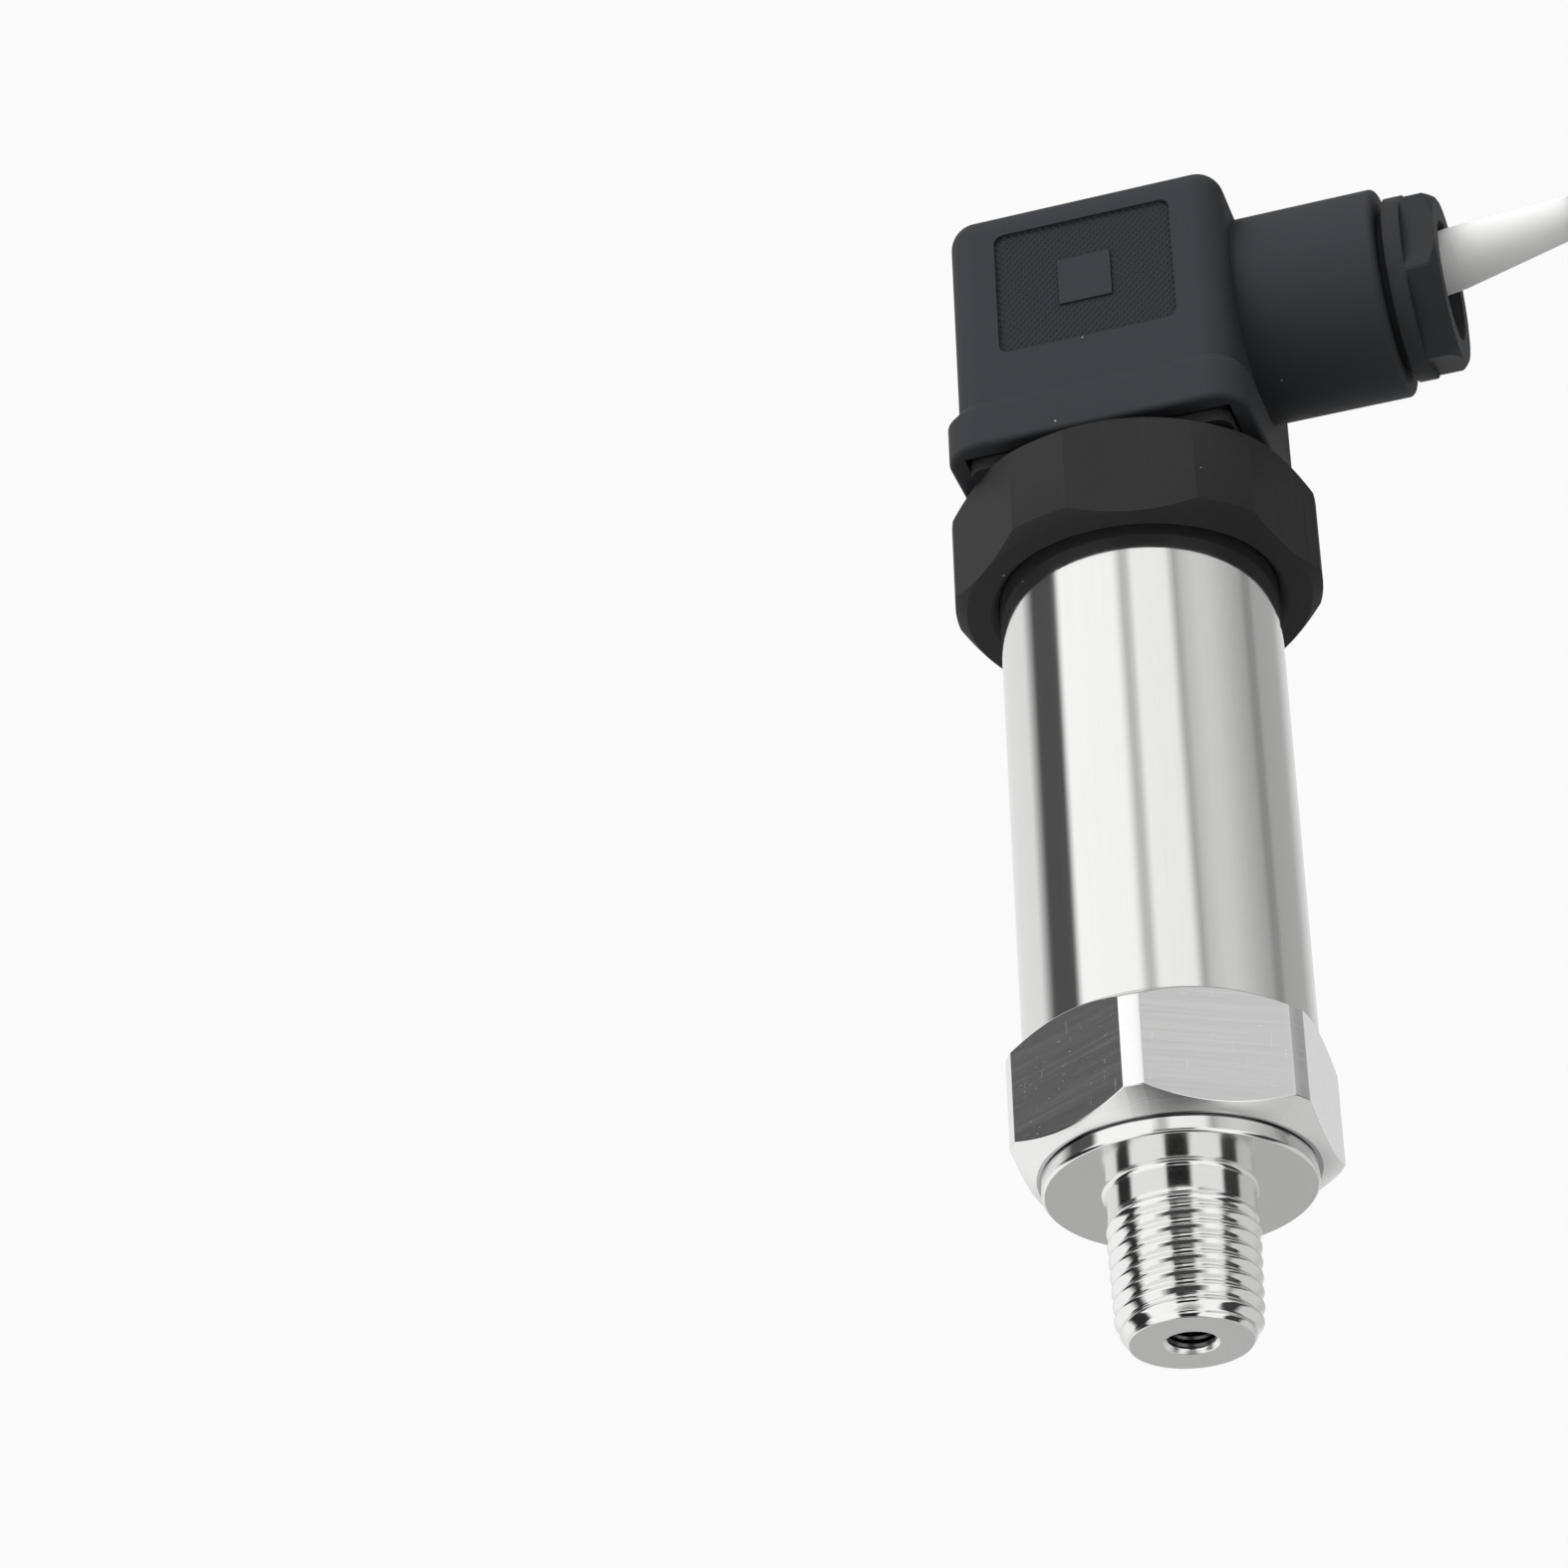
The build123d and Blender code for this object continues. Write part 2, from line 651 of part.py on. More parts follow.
nut_face_x = boss_out_x + nut_gap
nut_hex_x = nut_face_x + nut_collar_t
nut_end_x = nut_hex_x + nut_hex_t
nut_corner_r = rounded_corner_r(nut_af, nut_corner_cut)
nut_drop = (nut_corner_r - nut_face_r) * tan(nut_slope)
nut_outline = [
    (nut_hex_x, gland_z), (nut_hex_x, gland_z + nut_corner_r), (nut_end_x - nut_drop, gland_z + nut_corner_r),
    (nut_end_x, gland_z + nut_face_r), (nut_end_x, gland_z),
]
with BuildPart() as gland_nut:
    with BuildSketch(gland_plane(nut_hex_x)):
        hexagon(nut_af, nut_turn)
    extrude(amount=nut_hex_t)
    with BuildSketch(Plane.XZ):
        with BuildLine():
            Polyline(nut_outline, close=True)
        make_face()
    revolve(axis=Axis((0, 0, gland_z), (1, 0, 0)), mode=Mode.INTERSECT)
    with BuildSketch(gland_plane(nut_face_x)):
        Circle(nut_collar_r)
    extrude(amount=nut_collar_t)
    with BuildSketch(gland_plane(washer_end_x)):
        Circle(gland_thread_r - fit_gap)
    extrude(amount=nut_face_x - washer_end_x)
    with BuildSketch(gland_plane(washer_end_x)):
        Circle(nut_hole_r)
    extrude(amount=nut_end_x - washer_end_x, mode=Mode.SUBTRACT)
gland_nut.part.label = "gland_nut"
export_step(gland_nut.part, "parts/gland_nut.step")

# Cable inside the plug and its two cores
with BuildPart() as cable_tail:
    with BuildSketch(gland_plane(cable_tail_x)):
        Circle(cable_r)
    extrude(amount=grommet_end_x - cable_tail_x)
cable_tail.part.label = "cable_tail"
export_step(cable_tail.part, "parts/cable_tail.step")

core_clamp = pin_circle_r - 0.1
core_routes = {
    "inner_core_1": [
        (cable_tail_x, core_y, gland_z), (3.4, core_y, gland_z), (0.8, 3.3, gland_z - 0.1),
        (-2.8, 3.5, gland_z - 0.4), (-6.2, 2.0, contact_top_z + 4.4), (-8.4, -0.8, contact_top_z + 3.6),
        (-core_clamp, -terminal_offset, contact_top_z + 2.0), (-core_clamp, -terminal_offset, contact_top_z),
    ],
    "inner_core_2": [
        (cable_tail_x, -core_y, gland_z), (3.4, -core_y, gland_z), (1.4, -3.8, gland_z - 0.2),
        (-0.2, -6.6, contact_top_z + 4.6), (-1.4, -8.6, contact_top_z + 3.2),
        (-terminal_offset, -core_clamp, contact_top_z + 1.8), (-terminal_offset, -core_clamp, contact_top_z),
    ],
}
for core_name, core_points in core_routes.items():
    inner_core = tube_along(core_points, core_r, core_name)
    inner_core.part.label = core_name
    export_step(inner_core.part, f"parts/{core_name}.step")

# Sleeve over the cable where it leaves the gland
tilt = radians(sleeve_tilt)
sleeve_dir = Vector(cos(tilt), 0, sin(tilt))
sleeve_start = Vector(grommet_end_x, 0, gland_z) + sleeve_dir * 0.6
sleeve_end = Vector(grommet_end_x, 0, gland_z) + sleeve_dir * sleeve_l
taper_start = sleeve_start + sleeve_dir * sleeve_straight
with BuildPart() as cable_sleeve:
    with BuildSketch(Plane(origin=sleeve_start, x_dir=(0, 1, 0), z_dir=sleeve_dir)):
        Circle(sleeve_r)
    extrude(amount=sleeve_straight)
    with BuildSketch(Plane(origin=taper_start, x_dir=(0, 1, 0), z_dir=sleeve_dir)):
        Circle(sleeve_r)
    with BuildSketch(Plane(origin=sleeve_end, x_dir=(0, 1, 0), z_dir=sleeve_dir)):
        Circle(cable_r)
    loft()
cable_sleeve.part.label = "cable_sleeve"
export_step(cable_sleeve.part, "parts/cable_sleeve.step")

# Free cable: out of the sleeve, over and down into the put-away coil
cable_d = 2 * cable_r
coil_out_r = coil_mid_r + coil_layers * cable_d / 2
coil_in_r = coil_mid_r - coil_layers * cable_d / 2
coil_half = coil_rows * cable_d / 2
coil_entry_x = coil_x + coil_mid_r + cable_r
coil_back_y = coil_y + (coil_rows - 1) * cable_r
coil_front_y = coil_y - (coil_rows - 1) * cable_r
cable_route = [
    (sleeve_end.X, 0, sleeve_end.Z),
    (sleeve_end.X + 8.5 * sleeve_dir.X, 0, sleeve_end.Z + 8.5 * sleeve_dir.Z),
    (64.5, 0.7, 97.9),
    (76.0, 2.0, 95.4),
    (87.0, 3.7, 87.6),
    (95.6, 5.5, 76.4),
    (100.4, 6.7, 63.5),
    (coil_entry_x, coil_back_y, coil_z + 2.0),
]
cable = tube_along(cable_route, cable_r, "cable")
cable.part.label = "cable"
export_step(cable.part, "parts/cable.step")

with BuildPart() as cable_coil:
    with BuildSketch(Plane.XZ.offset(-coil_y - coil_half)):
        with Locations((coil_x, coil_z)):
            Circle(coil_out_r)
            Circle(coil_in_r, mode=Mode.SUBTRACT)
    extrude(amount=2 * coil_half)
    fillet(cable_coil.edges(), radius=cable_r * 0.9)
cable_coil.part.label = "cable_coil"
export_step(cable_coil.part, "parts/cable_coil.step")

band_z = coil_z + coil_mid_r
with BuildPart() as cable_tie:
    with BuildSketch(Plane.YZ.offset(coil_x - tie_w / 2)):
        with Locations((coil_y, band_z)):
            RectangleRounded(2 * (coil_half + tie_t), coil_layers * cable_d + 2 * tie_t, cable_r)
            RectangleRounded(2 * coil_half, coil_layers * cable_d, cable_r * 0.8, mode=Mode.SUBTRACT)
    extrude(amount=tie_w)
    with Locations((coil_x, coil_y, band_z + cable_d + tie_t + 1.0)):
        Box(tie_head_w, tie_head_l, tie_head_h)
cable_tie.part.label = "cable_tie"
export_step(cable_tie.part, "parts/cable_tie.step")

# Free end of the cable with its two cores and crimped ferrules
tail_x = coil_entry_x
tail_y = coil_front_y
tail_end_z = coil_z - tail_l
with BuildPart() as cable_end:
    with BuildSketch(Plane(origin=(tail_x, tail_y, coil_z), z_dir=(0, 0, -1))):
        Circle(cable_r)
    extrude(amount=tail_l)
cable_end.part.label = "cable_end"
export_step(cable_end.part, "parts/cable_end.step")

for number, side in enumerate((-1, 1), start=1):
    core_x = tail_x + side * core_y
    with BuildPart() as free_core:
        with BuildSketch(Plane(origin=(core_x, tail_y, tail_end_z), z_dir=(0, 0, -1))):
            Circle(core_r)
        extrude(amount=free_core_l)
    free_core.part.label = f"free_core_{number}"
    export_step(free_core.part, f"parts/free_core_{number}.step")

with BuildPart() as core_ferrules:
    with BuildSketch(Plane(origin=(tail_x, tail_y, tail_end_z - free_core_l), z_dir=(0, 0, -1))):
        with Locations((-core_y, 0), (core_y, 0)):
            Circle(ferrule_r)
    extrude(amount=ferrule_l)
core_ferrules.part.label = "core_ferrules"
export_step(core_ferrules.part, "parts/core_ferrules.step")
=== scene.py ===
"""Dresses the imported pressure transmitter: cable, turned thread, knurled panels, finishes and studio.

It is laid out as a Blender add-on. Run as a script, it registers its classes, calls each operator once
and leaves the finished scene. Lengths are in metres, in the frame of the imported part.
"""

import json
from math import acos, cos, degrees, pi, radians, sin, tan

import bpy
from bpy.props import FloatProperty, FloatVectorProperty, IntProperty, PointerProperty
from mathutils import Euler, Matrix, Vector


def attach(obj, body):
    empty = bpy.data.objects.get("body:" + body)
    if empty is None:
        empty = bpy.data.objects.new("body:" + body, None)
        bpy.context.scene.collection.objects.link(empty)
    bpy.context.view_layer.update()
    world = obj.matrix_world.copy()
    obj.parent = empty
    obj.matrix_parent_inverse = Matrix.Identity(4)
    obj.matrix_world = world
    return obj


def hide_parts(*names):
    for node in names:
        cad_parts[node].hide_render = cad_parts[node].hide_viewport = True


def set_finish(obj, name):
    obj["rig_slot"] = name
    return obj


bl_info = {
    "name": "Pressure transmitter looks",
    "version": (1, 0, 0),
    "blender": (4, 5, 0),
    "location": "3D View > Sidebar > Transmitter",
    "description": "Builds the visible pieces, finishes and studio of a pressure transmitter",
    "category": "Object",
}

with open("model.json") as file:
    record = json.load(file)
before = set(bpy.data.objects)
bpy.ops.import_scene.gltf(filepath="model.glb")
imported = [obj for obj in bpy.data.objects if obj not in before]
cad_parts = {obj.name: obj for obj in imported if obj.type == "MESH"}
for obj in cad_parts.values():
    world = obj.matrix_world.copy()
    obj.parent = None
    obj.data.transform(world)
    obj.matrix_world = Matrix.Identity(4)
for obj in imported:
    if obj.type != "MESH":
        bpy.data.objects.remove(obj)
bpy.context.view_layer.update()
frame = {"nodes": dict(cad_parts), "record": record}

MM = 0.001


# Settings that a user would change
class TransmitterSizes(bpy.types.PropertyGroup):
    """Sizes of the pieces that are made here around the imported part"""

    thread_pitch: FloatProperty(
        name="Thread pitch", description="Distance from crest to crest of the process thread",
        default=1.411 * MM, unit="LENGTH", precision=5)
    thread_depth: FloatProperty(
        name="Thread depth", description="Height of the thread from root to crest",
        default=0.7 * MM, unit="LENGTH", precision=5)
    port_thread_pitch: FloatProperty(
        name="Port thread pitch", description="Distance between the ridges inside the pressure port",
        default=0.7 * MM, unit="LENGTH", precision=5)
    knurl_pitch: FloatProperty(
        name="Knurl pitch", description="Distance between the rows of the panels' diamond knurl",
        default=0.7 * MM, unit="LENGTH", precision=5)
    knurl_height: FloatProperty(
        name="Knurl height", description="Height of each knurl pyramid above its valleys",
        default=0.17 * MM, unit="LENGTH", precision=5)
    cable_diameter: FloatProperty(
        name="Cable diameter", description="Outer diameter of the bare cable",
        default=4 * MM, unit="LENGTH", precision=5)
    turn_points: IntProperty(
        name="Points per turn", description="Control points in each turn of the put-away coil",
        default=16, min=12)


def colour_property(name, description, default):
    """A linear colour with its picker in the panel."""
    return FloatVectorProperty(name=name, description=description, default=default,
                               subtype="COLOR", size=3, min=0.0, max=1.0)


class TransmitterColours(bpy.types.PropertyGroup):
    """Colours of the finishes"""

    steel: colour_property("Steel", "Bare stainless steel", (0.80, 0.80, 0.79))
    plug: colour_property("Plug", "Charcoal moulding of the plug", (0.039, 0.041, 0.045))
    collar: colour_property("Collar", "Warm black moulding of the connector base", (0.030, 0.030, 0.0305))
    nut: colour_property("Nut", "Black moulding of the gland nut", (0.035, 0.037, 0.040))
    cable: colour_property("Cable", "White jacket of the cable", (0.82, 0.82, 0.81))
    rubber: colour_property("Rubber", "Black seals and gasket", (0.012, 0.012, 0.012))


class TransmitterStudio(bpy.types.PropertyGroup):
    """Camera, light and floor"""

    backdrop: FloatProperty(
        name="Backdrop", description="Brightness of the plain background seen by the camera",
        default=0.956, min=0.0, max=1.0, subtype="FACTOR")
    floor_height: FloatProperty(
        name="Floor height", description="Height of the floor, below the camera that looks up",
        default=-0.30, unit="LENGTH")
    focal_length: FloatProperty(
        name="Focal length", description="Focal length in millimetres on a 36 mm sensor",
        default=103.18)


# Shader nodes
def add_node(tree, kind, inputs=None, **settings):
    """Add one node; inputs are sockets to link or values to set."""
    made = tree.nodes.new(kind)
    for key, value in settings.items():
        setattr(made, key, value)
    for key, value in (inputs or {}).items():
        socket = made.inputs[key]
        if isinstance(value, bpy.types.NodeSocket):
            tree.links.new(value, socket)
        else:
            socket.default_value = value
    return made


def new_group(name, inputs, outputs):
    """An empty shader node group with float or vector inputs and float outputs."""
    tree = bpy.data.node_groups.new(name, "ShaderNodeTree")
    for label, value in inputs.items():
        kind = "NodeSocketVector" if value is None else "NodeSocketFloat"
        socket = tree.interface.new_socket(label, in_out="INPUT", socket_type=kind)
        if value is not None:
            socket.default_value = value
    for label in outputs:
        tree.interface.new_socket(label, in_out="OUTPUT", socket_type="NodeSocketFloat")
    return tree, add_node(tree, "NodeGroupInput").outputs


def noise(tree, vector, scale, detail=2.0, roughness=0.5):
    """A noise value from 0 to 1."""
    made = add_node(tree, "ShaderNodeTexNoise", {"Vector": vector, "Scale": scale, "Detail": detail,
                                                 "Roughness": roughness})
    return made.outputs["Fac"]


def calc(tree, operation, first, second=0.0, third=0.0):
    """One arithmetic node."""
    made = add_node(tree, "ShaderNodeMath", {0: first, 1: second, 2: third}, operation=operation)
    return made.outputs[0]


def ranged(tree, value, low, high, to_low, to_high):
    """A value carried from one range to another and held inside it."""
    made = add_node(tree, "ShaderNodeMapRange", {"Value": value, "From Min": low, "From Max": high,
                                                 "To Min": to_low, "To Max": to_high})
    return made.outputs["Result"]


def moulded_grain_group():
    """Fine spark-eroded grain of a plastic moulding, with soft handling marks."""
    tree, given = new_group("Moulded grain", {"Vector": None, "Grain": 4200.0, "Marks": 120.0},
                            ("Height", "Shade"))
    fine = noise(tree, given["Vector"], given["Grain"], 3.0, 0.6)
    soft = noise(tree, given["Vector"], given["Marks"], 3.0)
    shade = calc(tree, "MULTIPLY_ADD", soft, 0.6, calc(tree, "MULTIPLY", fine, 0.4))
    add_node(tree, "NodeGroupOutput", {"Height": fine, "Shade": shade})
    return tree


def specks_group():
    """Few tiny specks of dust, each a round dot."""
    tree, given = new_group("Dust specks", {"Vector": None, "Spacing": 300.0, "Size": 0.05}, ("Mask",))
    cells = add_node(tree, "ShaderNodeTexVoronoi", {"Vector": given["Vector"], "Scale": given["Spacing"]})
    dot = calc(tree, "LESS_THAN", cells.outputs["Distance"], given["Size"])
    split = add_node(tree, "ShaderNodeSeparateColor", {"Color": cells.outputs["Color"]})
    chosen = calc(tree, "GREATER_THAN", split.outputs[0], 0.72)
    add_node(tree, "NodeGroupOutput", {"Mask": calc(tree, "MULTIPLY", dot, chosen)})
    return tree


def streaks_group():
    """Fine parallel streaks: noise drawn out along the axes whose Stretch is small."""
    tree, given = new_group("Metal streaks", {"Vector": None, "Stretch": None, "Fineness": 1.0},
                            ("Height", "Shade"))
    drawn = add_node(tree, "ShaderNodeVectorMath", {0: given["Vector"], 1: given["Stretch"]},
                     operation="MULTIPLY")
    fine = noise(tree, drawn.outputs[0], given["Fineness"], 4.0, 0.7)
    broad = noise(tree, drawn.outputs[0], calc(tree, "MULTIPLY", given["Fineness"], 0.12), 2.0)
    shade = calc(tree, "MULTIPLY_ADD", fine, 0.6, calc(tree, "MULTIPLY", broad, 0.4))
    add_node(tree, "NodeGroupOutput", {"Height": fine, "Shade": shade})
    return tree


def turned_group():
    """Rings that a lathe tool leaves round the part's own axis."""
    tree, given = new_group("Turned rings", {"Vector": None, "Rings": 9000.0}, ("Height", "Shade"))
    split = add_node(tree, "ShaderNodeSeparateXYZ", {"Vector": given["Vector"]})
    flat = add_node(tree, "ShaderNodeCombineXYZ", {"X": split.outputs["X"], "Y": split.outputs["Y"]})
    length = add_node(tree, "ShaderNodeVectorMath", {0: flat.outputs[0]}, operation="LENGTH")
    across = add_node(tree, "ShaderNodeCombineXYZ", {"X": length.outputs["Value"],
                                                     "Y": split.outputs["Z"]})
    fine = noise(tree, across.outputs[0], given["Rings"], 3.0, 0.7)
    broad = noise(tree, across.outputs[0], calc(tree, "MULTIPLY", given["Rings"], 0.1), 2.0)
    shade = calc(tree, "MULTIPLY_ADD", fine, 0.5, calc(tree, "MULTIPLY", broad, 0.5))
    add_node(tree, "NodeGroupOutput", {"Height": fine, "Shade": shade})
    return tree


# Rotation and stretch of the noise behind each direction of scratches
SCRATCH_DIRECTIONS = (
    ((0.3, 0.5, 0.2), (2600.0, 2600.0, 350.0)),
    ((0.9, 0.2, 1.1), (350.0, 2600.0, 2600.0)),
)


def scratches_group():
    """Short thin scratches in two directions, where a stretched noise runs high."""
    tree, given = new_group("Short scratches", {"Vector": None, "Amount": 0.0}, ("Mask",))
    lines = []
    for turn, stretch in SCRATCH_DIRECTIONS:
        placed = add_node(tree, "ShaderNodeMapping", {"Vector": given["Vector"], "Rotation": turn,
                                                      "Scale": stretch})
        lines.append(noise(tree, placed.outputs[0], 1.0, 1.0))
    high = calc(tree, "MAXIMUM", lines[0], lines[1])
    mask = ranged(tree, high, 0.70, 0.76, 0.0, 1.0)
    add_node(tree, "NodeGroupOutput", {"Mask": calc(tree, "MULTIPLY", mask, given["Amount"])})
    return tree


GROUP_MAKERS = {
    "Moulded grain": moulded_grain_group,
    "Dust specks": specks_group,
    "Metal streaks": streaks_group,
    "Turned rings": turned_group,
    "Short scratches": scratches_group,
}


def effect(tree, name, inputs):
    """Place a shared effect in a material; the group is built on first use."""
    group = bpy.data.node_groups.get(name) or GROUP_MAKERS[name]()
    return add_node(tree, "ShaderNodeGroup", inputs, node_tree=group).outputs


def new_material(name, **sockets):
    """A Principled material; keyword names are its socket names with _ for spaces."""
    made = bpy.data.materials.new(name)
    made.use_nodes = True
    tree = made.node_tree
    shader = tree.nodes["Principled BSDF"]
    for key, value in sockets.items():
        shader.inputs[key.replace("_", " ")].default_value = value
    place = add_node(tree, "ShaderNodeTexCoord").outputs["Object"]
    return made, tree, shader, place


def mix_colour(tree, amount, first, second):
    """Blend two linear colours by a mask; each is a socket or three numbers."""
    ends = [end if isinstance(end, bpy.types.NodeSocket) else (*end, 1.0) for end in (first, second)]
    made = add_node(tree, "ShaderNodeMix", {0: amount, 6: ends[0], 7: ends[1]}, data_type="RGBA")
    return made.outputs[2]


def set_bump(tree, shader, height, depth, strength=0.5):
    """Feed a height to the shader's normal through a Bump node."""
    made = add_node(tree, "ShaderNodeBump", {"Height": height, "Distance": depth, "Strength": strength})
    tree.links.new(made.outputs["Normal"], shader.inputs["Normal"])


def shades(colour, amount):
    """The colour a little darker and a little lighter."""
    return tuple(c * (1 - amount) for c in colour), tuple(min(1.0, c * (1 + amount)) for c in colour)


DUST_COLOUR = (0.30, 0.30, 0.29)
SCRATCH_COLOUR = (0.95, 0.95, 0.94)
STREAK_DEPTH = 0.002 * MM
# The middle part of a shade's range, over which roughness goes from its least to its most
SHADE_RANGE = (0.3, 0.7)


def moulded_plastic(name, colour, roughness, grain=4200.0, depth=0.012 * MM, specks=0.035, contrast=0.12,
                    gloss=0.12, soft=0.0):
    """Grained plastic moulding with soft handling marks and a little dust."""
    made, tree, shader, place = new_material(name, Specular_IOR_Level=gloss, Subsurface_Weight=soft,
                                             Subsurface_Radius=(1.0, 1.0, 1.0), Subsurface_Scale=5 * MM)
    grained = effect(tree, "Moulded grain", {"Vector": place, "Grain": grain})
    dust = effect(tree, "Dust specks", {"Vector": place, "Size": specks})
    dark, light = shades(colour, contrast)
    base = mix_colour(tree, grained["Shade"], dark, light)
    dusted = mix_colour(tree, dust["Mask"], base, DUST_COLOUR)
    tree.links.new(dusted, shader.inputs["Base Color"])
    rough = ranged(tree, grained["Shade"], *SHADE_RANGE, roughness - 0.06, roughness + 0.06)
    tree.links.new(rough, shader.inputs["Roughness"])
    set_bump(tree, shader, grained["Height"], depth)
    return made


def streaked_steel(name, colour, roughness, stretch, contrast=0.05, swing=0.03, scratches=0.0):
    """Steel with fine parallel streaks and, if asked, a few short scratches."""
    made, tree, shader, place = new_material(name, Metallic=1.0)
    streaks = effect(tree, "Metal streaks", {"Vector": place, "Stretch": stretch})
    marks = effect(tree, "Short scratches", {"Vector": place, "Amount": scratches})
    dark, light = shades(colour, contrast)
    base = mix_colour(tree, streaks["Shade"], dark, light)
    tree.links.new(mix_colour(tree, marks["Mask"], base, SCRATCH_COLOUR), shader.inputs["Base Color"])
    rough = ranged(tree, streaks["Shade"], *SHADE_RANGE, roughness - swing, roughness + swing)
    worn = calc(tree, "MULTIPLY_ADD", marks["Mask"], 0.3, rough)
    tree.links.new(worn, shader.inputs["Roughness"])
    set_bump(tree, shader, streaks["Height"], STREAK_DEPTH)
    return made


def turned_metal(name, colour, roughness, rings=9000.0, depth=0.002 * MM, swing=0.03):
    """Metal turned on a lathe round the part's axis."""
    made, tree, shader, place = new_material(name, Metallic=1.0)
    turned = effect(tree, "Turned rings", {"Vector": place, "Rings": rings})
    dark, light = shades(colour, 0.05)
    tree.links.new(mix_colour(tree, turned["Shade"], dark, light), shader.inputs["Base Color"])
    rough = ranged(tree, turned["Shade"], *SHADE_RANGE, roughness - swing, roughness + swing)
    tree.links.new(rough, shader.inputs["Roughness"])
    set_bump(tree, shader, turned["Height"], depth)
    return made


# Mesh helpers
def link_piece(name, mesh, body="root"):
    """Put a mesh or curve into the scene and let it ride on a body."""
    piece = bpy.data.objects.new(name, mesh)
    bpy.context.scene.collection.objects.link(piece)
    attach(piece, body)
    return piece


def mesh_from(name, points, faces, sharp_deg=40.0):
    """A smooth-shaded mesh whose edges stay sharp beyond an angle."""
    mesh = bpy.data.meshes.new(name)
    mesh.from_pydata(points, [], faces)
    mesh.shade_smooth()
    mesh.set_sharp_from_angle(angle=radians(sharp_deg))
    return mesh


def paint(piece, material):
    """Give a piece one material in place of what it has."""
    piece.data.materials.clear()
    piece.data.materials.append(material)


def soften_edges(node, width, segments=2, angle_deg=30.0):
    """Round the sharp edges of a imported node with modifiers."""
    piece = frame["nodes"][node]
    weld = piece.modifiers.new("Weld", "WELD")
    weld.merge_threshold = 1e-6
    bevel = piece.modifiers.new("Edge radius", "BEVEL")
    bevel.width = width
    bevel.segments = segments
    bevel.limit_method = "ANGLE"
    bevel.angle_limit = radians(angle_deg)
    bevel.harden_normals = True


# Camera, in metres and degrees
CAMERA_PLACE = (0.08079, -0.34920, -0.17168)
CAMERA_TURN = (121.009, 1.053, 19.111)


class TRANSMITTER_OT_camera(bpy.types.Operator):
    """Place the camera below the part, looking up at its front"""

    bl_idname = "transmitter.camera"
    bl_label = "Camera"

    def execute(self, context):
        data = bpy.data.cameras.new("Camera")
        data.lens = context.scene.transmitter_studio.focal_length
        data.sensor_width = 36.0
        data.clip_start = 0.01
        camera = bpy.data.objects.new("Camera", data)
        camera.location = CAMERA_PLACE
        camera.rotation_euler = Euler([radians(angle) for angle in CAMERA_TURN], "XYZ")
        context.scene.collection.objects.link(camera)
        context.scene.camera = camera
        return {"FINISHED"}


# Cable with its put-away coil
COIL_CENTRE = Vector((80.0, 1.0, 50.0)) * MM
COIL_MID_RADIUS = 20.0 * MM
COIL_TURNS = 8
COIL_STEP_SHARE = 0.3
CABLE_TAIL = 24.0 * MM
# How far the tail stands off the coil, in diameters, at shares of its drop
TAIL_SHAPE = ((1.0, 0.0), (0.85, 0.33), (0.2, 0.67), (0.0, 1.0))
# Control points from the sleeve to the coil, in millimetres
CABLE_ROUTE = [
    (45.42, 0.0, 95.85),
    (53.80, 0.0, 97.28),
    (64.5, 0.7, 97.9),
    (76.0, 2.0, 95.4),
    (87.0, 3.7, 87.6),
    (95.6, 5.5, 76.4),
    (100.4, 6.7, 63.5),
    (102.0, 7.0, 52.0),
]


def coil_points(thick, turn_points):
    """Control points of the coil, two layers deep, its turns side by side a diameter apart.

    Each turn keeps its radius and row, and moves over to the next one in its last part.
    """
    outer, inner = COIL_MID_RADIUS + thick / 2, COIL_MID_RADIUS - thick / 2
    row_count = COIL_TURNS // 2
    rows = [COIL_CENTRE.y + thick * ((row_count - 1) / 2 - row) for row in range(row_count)]
    cells = []
    for row, y in enumerate(rows):
        cells += [(outer, y), (inner, y)] if row % 2 == 0 else [(inner, y), (outer, y)]
    cells.append((outer, rows[-1] - thick))
    spread = 1 / cos(pi / turn_points)
    points = []
    for (radius, y), (next_radius, next_y) in zip(cells, cells[1:]):
        for step in range(turn_points):
            share = max(0.0, (step / turn_points - 1 + COIL_STEP_SHARE) / COIL_STEP_SHARE)
            r = (radius + (next_radius - radius) * share) * spread
            angle = -2 * pi * step / turn_points
            across = y + (next_y - y) * share
            points.append((COIL_CENTRE.x + r * cos(angle), across, COIL_CENTRE.z + r * sin(angle)))
    return points


